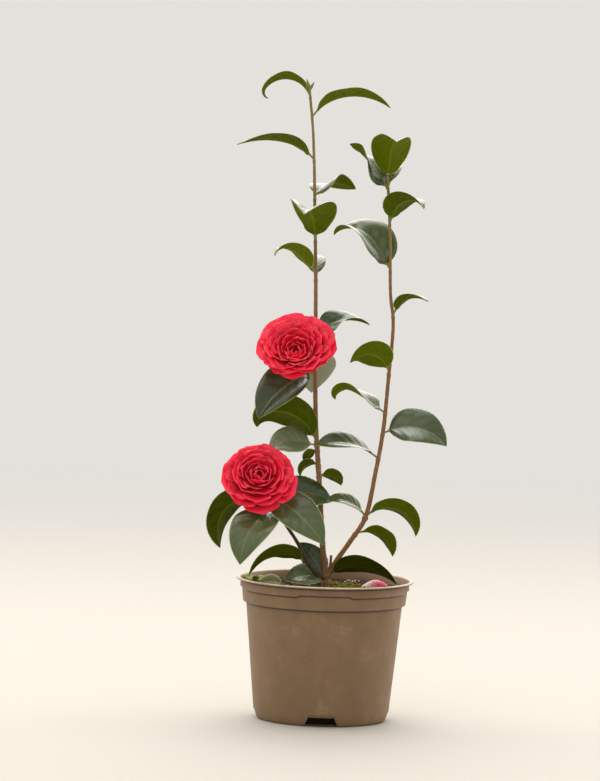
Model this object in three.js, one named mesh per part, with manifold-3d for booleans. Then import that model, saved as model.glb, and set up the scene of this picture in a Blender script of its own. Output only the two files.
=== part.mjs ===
// A young camellia in a three-litre nursery pot: two upright stems and a short flowering stem
// from one foot, single evergreen leaves on short stalks, and two open double blooms.
// Millimetres. The origin is the middle of the pot's flat base. +Z is up, +X is to the right
// and +Y points away from the side that the blooms face.

import * as THREE from "three";
import { mergeVertices } from "three/addons/utils/BufferGeometryUtils.js";
import Module from "manifold-3d";

const wasm = await Module();
wasm.setup();

// Driving dimensions

const GAP = 0.3; // between pieces that touch on the real plant

// Pot: a thin-walled taper on a rounded foot, with a wide band, a collar and a rolled lip
const POT_HEIGHT = 151;
const BASE_RADIUS = 71.6;
const WALL = 2;
const FOOT_PROFILE = [[-4.6, 0], [-2.3, 1], [-1, 2.8], [-0.1, 5.6]]; // [past the base radius, height]
const WALL_FOOT = 9.5; // height from which the wall is a straight taper
const WALL_TOP_RADIUS = 83.5; // where the band begins
const BAND_DEPTH = 26; // below the lip's top
const BAND_FOOT_RADIUS = 87;
const BAND_TOP_RADIUS = 88.3;
const BAND_LEDGE = 1.3; // height of the ledge under the band
const COLLAR_DEPTH = 12; // below the lip's top
const COLLAR_RADIUS = 90.2;
const COLLAR_LEDGE = 1;
const PANEL_RISE = 2; // the collar is shallower over four panels
const PANEL_HALF_ANGLE = 18;
const LIP_RADIUS = 95;
const LIP_HEIGHT = 2.5;
// The inside of the lip, collar and band, as [radius, height over the lip's top]
const LIP_INSIDE = [[91.8, -0.15], [89.4, -2.2], [87.4, -10], [84.8, -24.6], [82.6, -26.6]];
const NOTCHES = 4; // drain cut-outs round the base
const NOTCH = { bottom: 36.5, top: 27.5, height: 10, depth: 8 };
const NOTCH_CLEAR = 4; // how far a cut-out's cutter stands out past the foot

// Compost: filled to just under the rim
const COMPOST_TOP = 141;
const COMPOST_CLEAR = GAP + 0.2; // from the pot's inside
const COMPOST_EDGE_RADIUS = 86.1;
const COMPOST_BAND_RADIUS = 84.1; // just above the foot of the band
const COMPOST_WAVES = [{ count: 3, height: 0.8, from: 0 }, { count: 5, height: 0.6, from: 40 }];

// Stems: each is a smooth curve through a few points, with its radius at both ends
const STEMS = {
  main_stem: {
    through: [
      [1, 4, COMPOST_TOP - 2], [-0.5, 4, 158], [-5, 3, 200], [-9, 2, 250], [-14.5, 1, 310],
      [-17, 0, 360], [-18, 0, 400], [-20, 0, 470], [-23, 0, 540], [-27, 0, 618], [-33, 1, 673],
    ],
    foot: 3.3, tip: 1.3, flare: 2.4, shootFrom: 468,
  },
  right_stem: {
    through: [
      [2, 3, 152], [13, 1, 172], [26, -1, 192], [41.5, -3, 219], [50, -4, 264], [57, -4, 312],
      [61, -4, 370], [64, -3, 424], [60, -2, 458], [57.5, -1, 520], [53, 0, 581],
    ],
    foot: 2.7, tip: 1.4, flare: 0, shootFrom: 366,
  },
  flower_stem: {
    through: [
      [-2, 0, 150], [-17, -6, 164], [-31, -12, 190], [-42, -15, 206], [-60, -19, 233],
      [-71, -21, 246],
    ],
    foot: 2.2, tip: 1.6, flare: 0,
  },
};
const FLARE_REACH = 7; // height over which the root flare dies away
const STUB = { through: [[1, 3, 152], [5, 2, 164], [5.8, 2, 176]], foot: 1.9, tip: 1.4 }; // of a cut shoot
// Buds at a shoot's tip, as [bearing, slope, length, radius]
const TIP_BUDS = {
  left_shoot: [[150, 72, 12, 1.9], [10, 60, 10, 1.6]],
  right_shoot: [[120, 80, 10, 1.7]],
};
const BUD_SEAT = 2; // how deep a bud sits in the shoot's tip

// Leaves: a short stalk, then a folded blade that rises, arches over and may turn and twist
const LEAF_THICKNESS = 1;
const STALK_RADIUS = 1.1;
const LEAF_STATIONS = 10;
const LEAF_DEFAULTS = { width: 0.27, fold: 20, roll: 0, twist: 0, turn: 0, bend: 1, curl: 0, stalk: 8 };

// Angles in degrees. bearing: 0 right, 90 away, 180 left, 270 towards the blooms' side.
// rise: slope where the leaf leaves the stem; droop: how much it has turned down at its tip.
// roll: the blade turned about its midrib at the stalk, and twist: how much more at the tip.
const LEAVES = {
  main_stem: [
    { z: 147, bearing: 165, length: 43, rise: 68, droop: 30, fold: 8, roll: -75, width: 0.31 },
    { z: 153, bearing: 205, length: 44, rise: 6, droop: 22, fold: 18, roll: -40, width: 0.36,
      stalk: 5 },
    { z: 260, bearing: 15, length: 26, rise: 24, droop: 92, roll: -36, width: 0.44, stalk: 4 },
    { z: 272, bearing: 184, length: 24, rise: 30, droop: 128, fold: 18, roll: 34, width: 0.42,
      stalk: 4 },
    { z: 288, bearing: 178, length: 18, rise: -10, droop: 80, fold: 12, roll: 46, width: 0.42,
      stalk: 3 },
    { z: 293, bearing: 188, length: 47, rise: 10, droop: 112, bend: 3.6, fold: 15, roll: -42,
      width: 0.42 },
    { z: 297, bearing: 170, length: 80, rise: 62, droop: 122, bend: 1.4, curl: 40, fold: 16, roll: 50,
      width: 0.33 },
    { z: 398, bearing: 93, length: 68, rise: -18, droop: 56, fold: 12, roll: 180, width: 0.36 },
    { z: 372, bearing: 202, length: 76, rise: -14, droop: 50, fold: 34, roll: -46, width: 0.36 },
    { z: 412, bearing: 15, length: 56, rise: 46, droop: 70, turn: -40, roll: 60, twist: -90,
      width: 0.34 },
  ],
  left_shoot: [
    { z: 470, bearing: 92, length: 42, rise: 60, droop: 60 },
    { z: 478, bearing: 206, length: 54, rise: 44, droop: 130, bend: 3.5, fold: 22, roll: 14,
      width: 0.31 },
    { z: 511, bearing: 260, length: 80, rise: 68, droop: 92, fold: 34, roll: -4, width: 0.37 },
    { z: 556, bearing: 80, length: 62, rise: 44, droop: 70, turn: -70, roll: 20, twist: -85 },
    { z: 597, bearing: 172, length: 82, rise: 58, droop: 78, bend: 0.6, roll: 30, twist: -40,
      width: 0.25 },
    { z: 642, bearing: 4, length: 86, rise: 62, droop: 96, bend: 0.8, fold: 22, roll: -13,
      width: 0.26 },
    { z: 664, bearing: 182, length: 64, rise: 70, droop: 150, curl: 90, fold: 26, roll: 8,
      width: 0.28 },
  ],
  right_stem: [
    { z: 154, bearing: 344, length: 77, rise: 36, droop: 82, fold: 14, roll: -30, width: 0.29 },
    { z: 200, bearing: 12, length: 48, rise: 24, droop: 110, roll: -24, width: 0.34 },
    { z: 218, bearing: 192, length: 44, rise: 60, droop: 80, roll: -30 },
    { z: 218, bearing: 8, length: 68, rise: 50, droop: 140, roll: -26, width: 0.3 },
    { z: 281, bearing: 195, length: 66, rise: 40, droop: 58, roll: -8, twist: -30, width: 0.31 },
    { z: 308, bearing: 352, length: 68, rise: 32, droop: 82, fold: 18, roll: 46, width: 0.36 },
    { z: 330, bearing: 170, length: 62, rise: 34, droop: 165, bend: 5, fold: 22, roll: -22, twist: 60,
      width: 0.31 },
  ],
  right_shoot: [
    { z: 372, bearing: 200, length: 50, rise: 80, droop: 132, fold: 16, roll: 52, twist: -10,
      width: 0.38 },
    { z: 434, bearing: 325, length: 46, rise: 70, droop: 98, fold: 24, roll: -8 },
    { z: 482, bearing: 154, length: 82, rise: 60, droop: 110, bend: 2.2, fold: 30, roll: -36, twist: 38,
      width: 0.34 },
    { z: 531, bearing: 318, length: 56, rise: 76, droop: 128, bend: 1.3, fold: 24, roll: -14,
      width: 0.37 },
    { z: 570, bearing: 60, length: 32, rise: 66, droop: 50 },
    { z: 566, bearing: 158, length: 60, rise: 62, droop: 30, fold: 25, roll: -60, twist: 120,
      width: 0.34 },
    { z: 577, bearing: 277, length: 72, rise: 80, droop: 88, fold: 36, roll: -4, width: 0.36 },
  ],
  flower_stem: [
    { z: 168, bearing: 194, length: 66, rise: 36, droop: 98, fold: 18, roll: 26, width: 0.34 },
    { z: 224, bearing: 233, length: 82, rise: 1, droop: 86, fold: 10, roll: -12, width: 0.31 },
    { z: 242, bearing: 331, length: 83, rise: -16, droop: 36, fold: 12, roll: 36, width: 0.29 },
    { z: 232, bearing: 163, length: 94, rise: 30, droop: 146, fold: 15, roll: 24, width: 0.26 },
    { z: 236, bearing: 12, length: 64, rise: 24, droop: 52, fold: 15, roll: 50, width: 0.34 },
  ],
};

// Blooms: rows of petals round a hollow heart. bearing and tilt: the way the bloom's axis points.
// sink: how much lower the heart's rows lie than in a full dome. skew: how far the heart lies below
// the middle, as a share of the radius. stalkFrom: the height at which the stalk leaves its stem.
const BLOOMS = {
  upper_bloom: {
    centre: [-38, -27, 399], radius: 45.5, bearing: 262, tilt: 38, sink: 0.5, skew: 0.2,
    stem: "main_stem", stalkFrom: 386,
  },
  lower_bloom: {
    centre: [-74, -36, 257.5], radius: 43.5, bearing: 272, tilt: 32, sink: 0.3, skew: -0.08,
    stem: "flower_stem", stalkFrom: 240,
  },
};
const PETALS_PER_ROW = 9;
const PETAL_ROWS = [ // [share of the radius, share of the radius forward of the outer row]
  [1, 0], [0.88, 0.13], [0.74, 0.26], [0.58, 0.38], [0.42, 0.45],
];
const HEART = [0.16, 0.2];
const HEART_RISE = 0.06; // how far the middle of the heart stands above its ring
const SCALLOP = 0.07; // depth of the dip between two petals, as a share of the radius
const CALYX_RADIUS = 5;
const CALYX_BACK = 0.36; // behind the centre, as a share of the radius
const BLOOM_STALK_RADIUS = 1.7;
const BLOOM_STALK_SWELL = 1.2; // how much wider the stalk is at the calyx

// The one petal that has dropped on the compost
const PETAL = {
  at: [55, 14, COMPOST_TOP + GAP], length: 31, width: 19, height: 7.5, thickness: 1.4, turn: -6,
};

// A flat section of eight points, as [across, above], from one margin over the top and back
const FLAT_SECTION = [
  [1, 0], [0.5, 0.87], [0, 1], [-0.5, 0.87], [-1, 0], [-0.5, -0.87], [0, -1], [0.5, -0.87],
];

// Small helpers
const vec = (p) => new THREE.Vector3(...p);
const rad = THREE.MathUtils.degToRad;

// A unit vector from a bearing and a slope in degrees.
function direction(bearing, slope) {
  const b = rad(bearing), s = rad(slope);
  return new THREE.Vector3(Math.cos(s) * Math.cos(b), Math.cos(s) * Math.sin(b), Math.sin(s));
}

// A smooth curve through the points (uniform Catmull-Rom), as a fine list of points.
function spline(through, steps = 8) {
  const p = through.map(vec);
  const before = p[0].clone().multiplyScalar(2).sub(p[1]);
  const after = p.at(-1).clone().multiplyScalar(2).sub(p.at(-2));
  const all = [before, ...p, after];
  const curve = [];
  for (let i = 1; i < all.length - 2; i++) {
    const [a, b, c, d] = all.slice(i - 1, i + 3);
    for (let k = 0; k < steps; k++) {
      const t = k / steps;
      curve.push(new THREE.Vector3(...["x", "y", "z"].map((q) => 0.5 * (2 * b[q] + (c[q] - a[q]) * t
        + (2 * a[q] - 5 * b[q] + 4 * c[q] - d[q]) * t * t
        + (3 * b[q] - a[q] - 3 * c[q] + d[q]) * t * t * t))));
    }
  }
  curve.push(p.at(-1));
  return curve;
}

// The point of a rising curve at one height.
function atHeight(curve, z) {
  const i = Math.max(1, curve.findIndex((p) => p.z >= z));
  const [a, b] = [curve[i - 1], curve[i]];
  return a.clone().lerp(b, (z - a.z) / (b.z - a.z));
}

// The stretch of a rising curve between two heights.
function between(curve, low, high) {
  const inside = curve.filter((p) => p.z > low + 0.5 && p.z < high - 0.5);
  return [atHeight(curve, low), ...inside, atHeight(curve, high)];
}

// A closed surface from rings of points, each ring anticlockwise round the way it is swept.
// start and end are the points that close it, at the middle of the first and last ring or past it.
// The second half of a ring is split along the other diagonal than the first, so that the two
// faces of a thin twisted blade bend alike and keep their distance.
function closedRings(rings, start, end) {
  const sides = rings[0].length;
  const points = [start, ...rings.flat(), end];
  const last = points.length - 1;
  const at = (ring, side) => 1 + ring * sides + (side % sides);
  const index = [];
  for (let j = 0; j < sides; j++) {
    index.push(0, at(0, j + 1), at(0, j));
    for (let i = 0; i < rings.length - 1; i++) {
      const [a, b, c, d] = [at(i, j), at(i, j + 1), at(i + 1, j + 1), at(i + 1, j)];
      if (j < sides / 2) index.push(a, b, c, a, c, d);
      else index.push(a, b, d, b, c, d);
    }
    index.push(last, at(rings.length - 1, j), at(rings.length - 1, j + 1));
  }
  const geometry = new THREE.BufferGeometry().setFromPoints(points);
  geometry.setIndex(index);
  return geometry;
}

// A closed surface made into a solid. Only the corners' places are kept, so equal corners merge.
function toSolid(geometry) {
  geometry.deleteAttribute("normal");
  geometry.deleteAttribute("uv");
  const merged = mergeVertices(geometry, 1e-4);
  return new wasm.Manifold(new wasm.Mesh({
    numProp: 3,
    vertProperties: new Float32Array(merged.attributes.position.array),
    triVerts: new Uint32Array(merged.index.array),
  }));
}

function toGeometry(solid) {
  const mesh = solid.getMesh();
  const geometry = new THREE.BufferGeometry();
  geometry.setAttribute("position", new THREE.BufferAttribute(new Float32Array(mesh.vertProperties), 3));
  geometry.setIndex(new THREE.BufferAttribute(new Uint32Array(mesh.triVerts), 1));
  geometry.computeVertexNormals();
  return geometry;
}

// Stems and twigs

// A round tapering limb along a curve. radius(s, point) is its radius at share s of its length.
function limb(curve, radius, sides = 9) {
  const lengths = [0];
  for (let i = 1; i < curve.length; i++) lengths.push(lengths[i - 1] + curve[i].distanceTo(curve[i - 1]));
  const rings = curve.map((point, i) => {
    const [before, after] = [curve[Math.max(i - 1, 0)], curve[Math.min(i + 1, curve.length - 1)]];
    const along = after.clone().sub(before).normalize();
    const across = new THREE.Vector3(0, 1, 0).cross(along).normalize();
    const other = along.clone().cross(across);
    const r = radius(lengths[i] / lengths.at(-1), point);
    return Array.from({ length: sides }, (_, j) => {
      const a = (2 * Math.PI * j) / sides;
      return point.clone()
        .addScaledVector(across, r * Math.cos(a))
        .addScaledVector(other, r * Math.sin(a));
    });
  });
  return toSolid(closedRings(rings, curve[0], curve.at(-1)));
}

// The radius of a stem at a height: a steady taper, and the flare where it meets the compost.
function stemRadius(stem, point, grow = 0) {
  const [low, high] = [stem.through[0][2], stem.through.at(-1)[2]];
  const share = THREE.MathUtils.clamp((point.z - low) / (high - low), 0, 1);
  return stem.tip + (stem.foot - stem.tip) * (1 - share) ** 1.2
    + stem.flare * Math.exp(-(point.z - low) / FLARE_REACH) + grow;
}

// A pointed bud: a short limb that swells and closes.
function bud(from, bearing, slope, length, radius) {
  const along = direction(bearing, slope);
  const steps = 5;
  const curve = Array.from({ length: steps + 1 }, (_, i) => from.clone()
    .addScaledVector(along, (length * i) / steps));
  return limb(curve, (s) => 0.15 + radius * Math.sin(Math.PI * (0.25 + 0.74 * s)) ** 0.9, 7);
}

// Leaves

// Half width along the blade, from 0 through 1 at the widest to 0 at the drawn-out tip.
function bladeOutline(u) {
  const [a, b] = [0.62, 0.95];
  const widest = a / (a + b);
  return (u ** a * (1 - u) ** b) / (widest ** a * (1 - widest) ** b);
}

// One leaf as a solid: stalk and blade in one sweep of eight-sided sections.
function leafSolid(from, spec) {
  const leaf = { ...LEAF_DEFAULTS, ...spec };
  const total = leaf.stalk + leaf.length;
  const stations = [0, leaf.stalk * 0.6];
  for (let i = 0; i < LEAF_STATIONS; i++) {
    stations.push(leaf.stalk + (leaf.length * (i + 0.35)) / LEAF_STATIONS);
  }
  const fold = rad(leaf.fold);
  const point = from.clone();
  const rings = [];
  const slopeAt = (d) => {
    const tipward = THREE.MathUtils.clamp(((d - leaf.stalk) / leaf.length - 0.75) / 0.25, 0, 1);
    return leaf.rise - leaf.droop * (d / total) ** leaf.bend - leaf.curl * tipward ** 1.5;
  };
  const bearingAt = (d) => leaf.bearing + leaf.turn * (d / total);
  const advance = (from, to) => {
    for (let k = 0; k < 4; k++) {
      const d = from + ((to - from) * (k + 0.5)) / 4;
      point.addScaledVector(direction(bearingAt(d), slopeAt(d)), (to - from) / 4);
    }
  };
  stations.forEach((d, i) => {
    if (i) advance(stations[i - 1], d);
    const u = THREE.MathUtils.clamp((d - leaf.stalk) / leaf.length, 0, 1);
    const along = direction(bearingAt(d), slopeAt(d));
    const level = direction(bearingAt(d) + 90, 0);
    const up = along.clone().cross(level);
    const roll = rad(leaf.roll + leaf.twist * u);
    const side = level.clone().multiplyScalar(Math.cos(roll)).addScaledVector(up, Math.sin(roll));
    const normal = up.clone().multiplyScalar(Math.cos(roll)).addScaledVector(level, -Math.sin(roll));
    const half = Math.max(STALK_RADIUS * (1 - 0.6 * u), leaf.width * leaf.length * bladeOutline(u));
    const thick = LEAF_THICKNESS / 2 + (STALK_RADIUS - LEAF_THICKNESS / 2) * (1 - Math.min(1, u * 6));
    rings.push(FLAT_SECTION.map(([across, above]) => point.clone()
      .addScaledVector(side, half * across * Math.cos(fold))
      .addScaledVector(normal, half * Math.abs(across) * Math.sin(fold) + above * thick)));
  });
  advance(stations.at(-1), total);
  return toSolid(closedRings(rings, from, point.clone()));
}

// Blooms

// A double bloom as one solid: back of the outer petals, then each row's lobed edge stepping
// forward and in, and the hollow heart. Rows are set half a petal round from each other.
function bloomSolid(bloom) {
  const axis = direction(bloom.bearing, bloom.tilt);
  const across = direction(bloom.bearing + 90, 0);
  const up = axis.clone().cross(across);
  const centre = vec(bloom.centre);
  const sides = PETALS_PER_ROW * 4;
  // The middle of a ring. In front of the outer row it sinks and drops towards the heart.
  const middle = (share, forward) => {
    const inward = forward > 0 ? 1 - share : 0;
    return centre.clone().addScaledVector(axis, bloom.radius * forward * (1 - bloom.sink * inward))
      .addScaledVector(up, -bloom.radius * bloom.skew * inward);
  };
  const ring = (share, forward, row, lobes) => Array.from({ length: sides }, (_, j) => {
    const a = (2 * Math.PI * j) / sides;
    const lobe = 1 - lobes * (1 - Math.abs(Math.cos((PETALS_PER_ROW * a + row * Math.PI) / 2)));
    const r = bloom.radius * share * lobe;
    return middle(share, forward)
      .addScaledVector(across, r * Math.cos(a)).addScaledVector(up, r * Math.sin(a));
  });
  const calyx = CALYX_RADIUS / bloom.radius;
  const rings = [
    ring(calyx, -CALYX_BACK, 0, 0),
    ring(calyx * 1.5, -CALYX_BACK + 0.1, 0, 0),
    ring(0.62, -0.14, 0, SCALLOP / 2),
  ];
  PETAL_ROWS.forEach(([share, forward], row) => {
    rings.push(ring(share, forward - 0.035, row, SCALLOP * 1.6));
    rings.push(ring(share * 0.985, forward, row, SCALLOP * 1.6));
    const next = PETAL_ROWS[row + 1] ?? HEART;
    rings.push(ring(0.6 * next[0] + 0.36 * share, forward + 0.005, row, SCALLOP / 2));
  });
  rings.push(ring(HEART[0], HEART[1], 0, SCALLOP));
  const back = centre.clone().addScaledVector(axis, -bloom.radius * (CALYX_BACK + 0.03));
  const heart = middle(0, HEART[1] + HEART_RISE);
  const stem = STEMS[bloom.stem];
  const stalkFoot = atHeight(curves[bloom.stem], bloom.stalkFrom);
  const stalkEnd = back.clone().addScaledVector(axis, 4);
  const bow = stalkFoot.clone().lerp(stalkEnd, 0.55).addScaledVector(axis, -2);
  const stalk = limb(new THREE.QuadraticBezierCurve3(stalkFoot, bow, stalkEnd).getPoints(6),
    (s) => BLOOM_STALK_RADIUS + BLOOM_STALK_SWELL * s * s, 8);
  return toSolid(closedRings(rings, back, heart)).add(stalk);
}

// Pot, compost and petal

// A surface turned about the pot's axis. profile is a list of functions of the angle (degrees)
// that give [radius, height].
function turned(profile, sides) {
  const rings = profile.map((at) => Array.from({ length: sides }, (_, j) => {
    const angle = (360 * j) / sides;
    const [r, z] = at(angle);
    return new THREE.Vector3(r * Math.cos(rad(angle)), r * Math.sin(rad(angle)), z);
  }));
  const middle = (ring) => new THREE.Vector3(0, 0, ring[0].z);
  return closedRings(rings, middle(rings[0]), middle(rings.at(-1)));
}

// The outside radius of the plain tapered wall at a height.
const wallRadius = (z) => BASE_RADIUS + ((WALL_TOP_RADIUS - BASE_RADIUS) * z) / (POT_HEIGHT - BAND_DEPTH);

// How far the collar's lower edge is lifted: over the four panels it sits higher.
function panelLift(angle) {
  const fromPanel = Math.abs((((angle - 270 + 45) % 90) + 90) % 90 - 45);
  return fromPanel < PANEL_HALF_ANGLE ? PANEL_RISE : 0;
}

function potSolid() {
  const top = POT_HEIGHT;
  const band = top - BAND_DEPTH;
  const collar = top - COLLAR_DEPTH;
  const fixed = (r, z) => () => [r, z];
  const lifted = (r, z) => (angle) => [r, z + panelLift(angle)];
  const profile = [
    ...FOOT_PROFILE.map(([past, z]) => fixed(BASE_RADIUS + past, z)),
    fixed(wallRadius(WALL_FOOT), WALL_FOOT),
    fixed(WALL_TOP_RADIUS, band),
    fixed(BAND_FOOT_RADIUS - 0.8, band + 0.1),
    fixed(BAND_FOOT_RADIUS, band + BAND_LEDGE),
    fixed(BAND_TOP_RADIUS, collar - 1.5),
    lifted(BAND_TOP_RADIUS + 0.1, collar),
    lifted(COLLAR_RADIUS, collar + COLLAR_LEDGE),
    fixed(COLLAR_RADIUS + 0.2, top - LIP_HEIGHT - 0.4),
    fixed(LIP_RADIUS - 1.6, top - LIP_HEIGHT),
    fixed(LIP_RADIUS, top - LIP_HEIGHT / 2),
    fixed(LIP_RADIUS - 0.6, top - 0.4),
    fixed(LIP_RADIUS - 2.2, top),
    ...LIP_INSIDE.map(([r, below]) => fixed(r, top + below)),
    fixed(wallRadius(band) - WALL, band - 2),
    fixed(wallRadius(WALL) - WALL, WALL),
  ];
  let pot = toSolid(turned(profile, 48));
  for (let i = 0; i < NOTCHES; i++) {
    const outline = new THREE.Shape([
      new THREE.Vector2(-NOTCH.bottom / 2, -1), new THREE.Vector2(NOTCH.bottom / 2, -1),
      new THREE.Vector2(NOTCH.top / 2, NOTCH.height), new THREE.Vector2(-NOTCH.top / 2, NOTCH.height),
    ]);
    const depth = NOTCH.depth + NOTCH_CLEAR;
    const cutter = new THREE.ExtrudeGeometry(outline, { depth, bevelEnabled: false });
    cutter.rotateX(Math.PI / 2).translate(0, -(BASE_RADIUS - NOTCH.depth), 0);
    cutter.rotateZ((2 * Math.PI * i) / NOTCHES);
    pot = pot.subtract(toSolid(cutter));
  }
  return pot;
}

function compostSolid() {
  const band = POT_HEIGHT - BAND_DEPTH;
  const clear = (z) => wallRadius(z) - WALL - COMPOST_CLEAR;
  const dip = (angle) => COMPOST_WAVES.reduce(
    (sum, wave) => sum + wave.height * Math.sin(rad(angle * wave.count + wave.from)), 0);
  return toSolid(turned([
    () => [clear(3) - 1, WALL + 0.8],
    () => [clear(6), 6],
    () => [clear(band - 2), band - 2],
    () => [COMPOST_BAND_RADIUS, band + 2],
    (angle) => [COMPOST_EDGE_RADIUS, COMPOST_TOP - 3 + dip(angle)],
    (angle) => [70, COMPOST_TOP - 0.9 + 0.6 * dip(angle)],
    () => [52, COMPOST_TOP],
  ], 40));
}

// A dropped petal, cupped, lying on its edge on the compost.
function petalSolid() {
  const stations = 8;
  const rings = [];
  for (let i = 0; i < stations; i++) {
    const u = (i + 0.5) / stations;
    const half = (PETAL.width / 2) * Math.sin(Math.PI * Math.min(1, u * 0.98)) ** 0.6;
    const arch = PETAL.height * Math.sin(Math.PI * u);
    rings.push(FLAT_SECTION.map(([across, above]) => new THREE.Vector3(
      (u - 0.5) * PETAL.length,
      half * across,
      arch * (1 - 0.75 * across * across) + above * PETAL.thickness / 2,
    )));
  }
  const end = (x) => new THREE.Vector3((x * PETAL.length) / 2, 0, 0);
  const geometry = closedRings(rings, end(-1), end(1));
  geometry.rotateZ(rad(PETAL.turn)).translate(...PETAL.at);
  return toSolid(geometry);
}

// The plant

const curves = Object.fromEntries(
  Object.entries(STEMS).map(([name, stem]) => [name, spline(stem.through, 3)]));
const whole = (name, grow = 0) => limb(curves[name], (s, point) => stemRadius(STEMS[name], point, grow));
const room = Object.fromEntries(Object.keys(STEMS).map((name) => [name, whole(name, GAP + 0.1)]));

const nodes = [];
const add = (name, solid, colour, roughness) => nodes.push({ name, solid, colour, roughness });

const BARK = "#7a5836";
const LEAF_GREEN = "#3f5418";
const PETAL_RED = "#e01c38";
const POT_TAUPE = "#8b735b";
const COMPOST_BROWN = "#3b2f22";
const FADED_PINK = "#e3a39c";

// The main stem stands on the compost, with the stub of a cut shoot beside its foot.
const main = STEMS.main_stem;
const right = STEMS.right_stem;
const stub = limb(STUB.through.map(vec), (s) => STUB.foot + (STUB.tip - STUB.foot) * s, 7);
const below = toSolid(new THREE.BoxGeometry(40, 40, 10).translate(0, 0, COMPOST_TOP + GAP - 5));
add("main_stem", limb(between(curves.main_stem, main.through[0][2], main.shootFrom),
  (s, point) => stemRadius(main, point), 10).subtract(below), BARK, 0.75);
add("right_stem", limb(between(curves.right_stem, right.through[0][2], right.shootFrom),
  (s, point) => stemRadius(right, point)).add(stub).subtract(room.main_stem), BARK, 0.75);
add("flower_stem", whole("flower_stem").subtract(room.main_stem).subtract(room.right_stem), BARK, 0.75);

// Each shoot is the stem's upper part with its leaves fused on and a bud at its tip.
for (const [name, stemName] of [["left_shoot", "main_stem"], ["right_shoot", "right_stem"]]) {
  const stem = STEMS[stemName];
  const twig = between(curves[stemName], stem.shootFrom + GAP + 0.1, stem.through.at(-1)[2]);
  const seat = twig.at(-1).clone().add(new THREE.Vector3(0, 0, -BUD_SEAT));
  let solid = limb(twig, (s, point) => stemRadius(stem, point), 8);
  for (const leaf of LEAVES[name]) solid = solid.add(leafSolid(atHeight(curves[stemName], leaf.z), leaf));
  for (const tipBud of TIP_BUDS[name]) solid = solid.add(bud(seat, ...tipBud));
  add(name, solid, LEAF_GREEN, 0.4);
}

// Blooms, then the single leaves, each cut clear of the stems it starts from.
for (const [name, bloom] of Object.entries(BLOOMS)) {
  add(name, bloomSolid(bloom).subtract(room[bloom.stem]), PETAL_RED, 0.55);
}
for (const stemName of Object.keys(STEMS)) {
  LEAVES[stemName].forEach((leaf, i) => {
    let solid = leafSolid(atHeight(curves[stemName], leaf.z), leaf);
    for (const other of Object.values(room)) solid = solid.subtract(other);
    const kept = solid.decompose().sort((a, b) => b.volume() - a.volume())[0];
    add(`${stemName}_leaf_${i + 1}`, kept, LEAF_GREEN, 0.4);
  });
}

add("pot", potSolid(), POT_TAUPE, 0.6);
add("compost", compostSolid(), COMPOST_BROWN, 0.95);
add("fallen_petal", petalSolid(), FADED_PINK, 0.6);

const camellia = new THREE.Group();
for (const { name, solid, colour, roughness } of nodes) {
  const material = new THREE.MeshStandardMaterial({ color: colour, roughness });
  const mesh = new THREE.Mesh(toGeometry(solid), material);
  mesh.name = name;
  camellia.add(mesh);
}

export default camellia;
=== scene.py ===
# %% [markdown]
# # A young camellia in a nursery pot
#
# Two slim stems and one short flowering stem rise from a single foot in a taupe plastic pot. Each
# leaf stands alone on a short stalk, arches over and shows its dull olive underside to anyone who
# looks at it level, and two double red blooms face forward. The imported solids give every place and
# size. This lesson dresses them. Every leaf, petal, stem and pot wall is the same idea: a closed
# skin through a stack of rings, worked out with numpy.

# %% Load the frame
from collections import namedtuple

import bpy
import numpy as np
from mathutils import Matrix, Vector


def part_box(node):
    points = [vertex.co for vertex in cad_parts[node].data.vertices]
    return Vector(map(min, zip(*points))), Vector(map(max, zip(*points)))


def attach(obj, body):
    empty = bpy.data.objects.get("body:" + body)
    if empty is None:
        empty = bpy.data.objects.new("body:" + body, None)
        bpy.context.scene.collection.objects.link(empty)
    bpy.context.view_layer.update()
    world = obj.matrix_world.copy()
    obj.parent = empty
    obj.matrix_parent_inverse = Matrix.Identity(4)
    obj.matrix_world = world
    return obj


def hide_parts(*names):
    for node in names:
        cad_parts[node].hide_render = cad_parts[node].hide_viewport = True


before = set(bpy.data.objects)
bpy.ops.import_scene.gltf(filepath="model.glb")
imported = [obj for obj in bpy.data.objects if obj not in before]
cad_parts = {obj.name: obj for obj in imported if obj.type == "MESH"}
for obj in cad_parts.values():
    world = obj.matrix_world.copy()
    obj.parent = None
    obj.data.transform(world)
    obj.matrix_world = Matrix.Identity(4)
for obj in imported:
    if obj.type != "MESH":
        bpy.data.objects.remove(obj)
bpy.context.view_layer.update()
MM = 0.001
rng = np.random.default_rng(1483)
print("solids", len(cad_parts))

# %% [markdown]
# ## The camera
#
# The plant is seen nearly level, from far off, with a long lens, and the view leans a little. A
# camera looks along its own -Z, so its three axes are written down as directions in the plant's
# frame and become the columns of its matrix. The lens comes from the pot's rim, whose width is
# known in millimetres and in pixels, which is surer than sliding a camera about by eye.

# %% Add an object
def add_object(name, data, axes=(), place=(0, 0, 0)):
    """Link an object into the scene. axes are its own x, y and z as directions, and place is where
    it stands in metres."""
    made = bpy.data.objects.new(name, data)
    bpy.context.scene.collection.objects.link(made)
    if len(axes):
        stance = np.eye(4)
        stance[:3, :3] = np.column_stack(axes)
        stance[:3, 3] = place
        made.matrix_world = Matrix(stance.tolist())
    return made

# %% Place the camera
IMAGE_HEIGHT = 781
RIM_WIDTH_PX = 178.2
CAMERA_AIM = np.array([-33.0, 0.0, 351.0])
CAMERA_DISTANCE = 5000.0
CAMERA_PITCH = np.radians(3.85)
CAMERA_ROLL = np.radians(1.8)
SENSOR = 36.0

pot_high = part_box("pot")[1]
LIP_RADIUS = pot_high.x / MM
POT_HEIGHT = pot_high.z / MM

back = np.array([0.0, -np.cos(CAMERA_PITCH), np.sin(CAMERA_PITCH)])
level = np.array([1.0, 0.0, 0.0])
upright = np.cross(back, level)
picture_x = np.cos(CAMERA_ROLL) * level + np.sin(CAMERA_ROLL) * upright
picture_y = -np.sin(CAMERA_ROLL) * level + np.cos(CAMERA_ROLL) * upright

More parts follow.
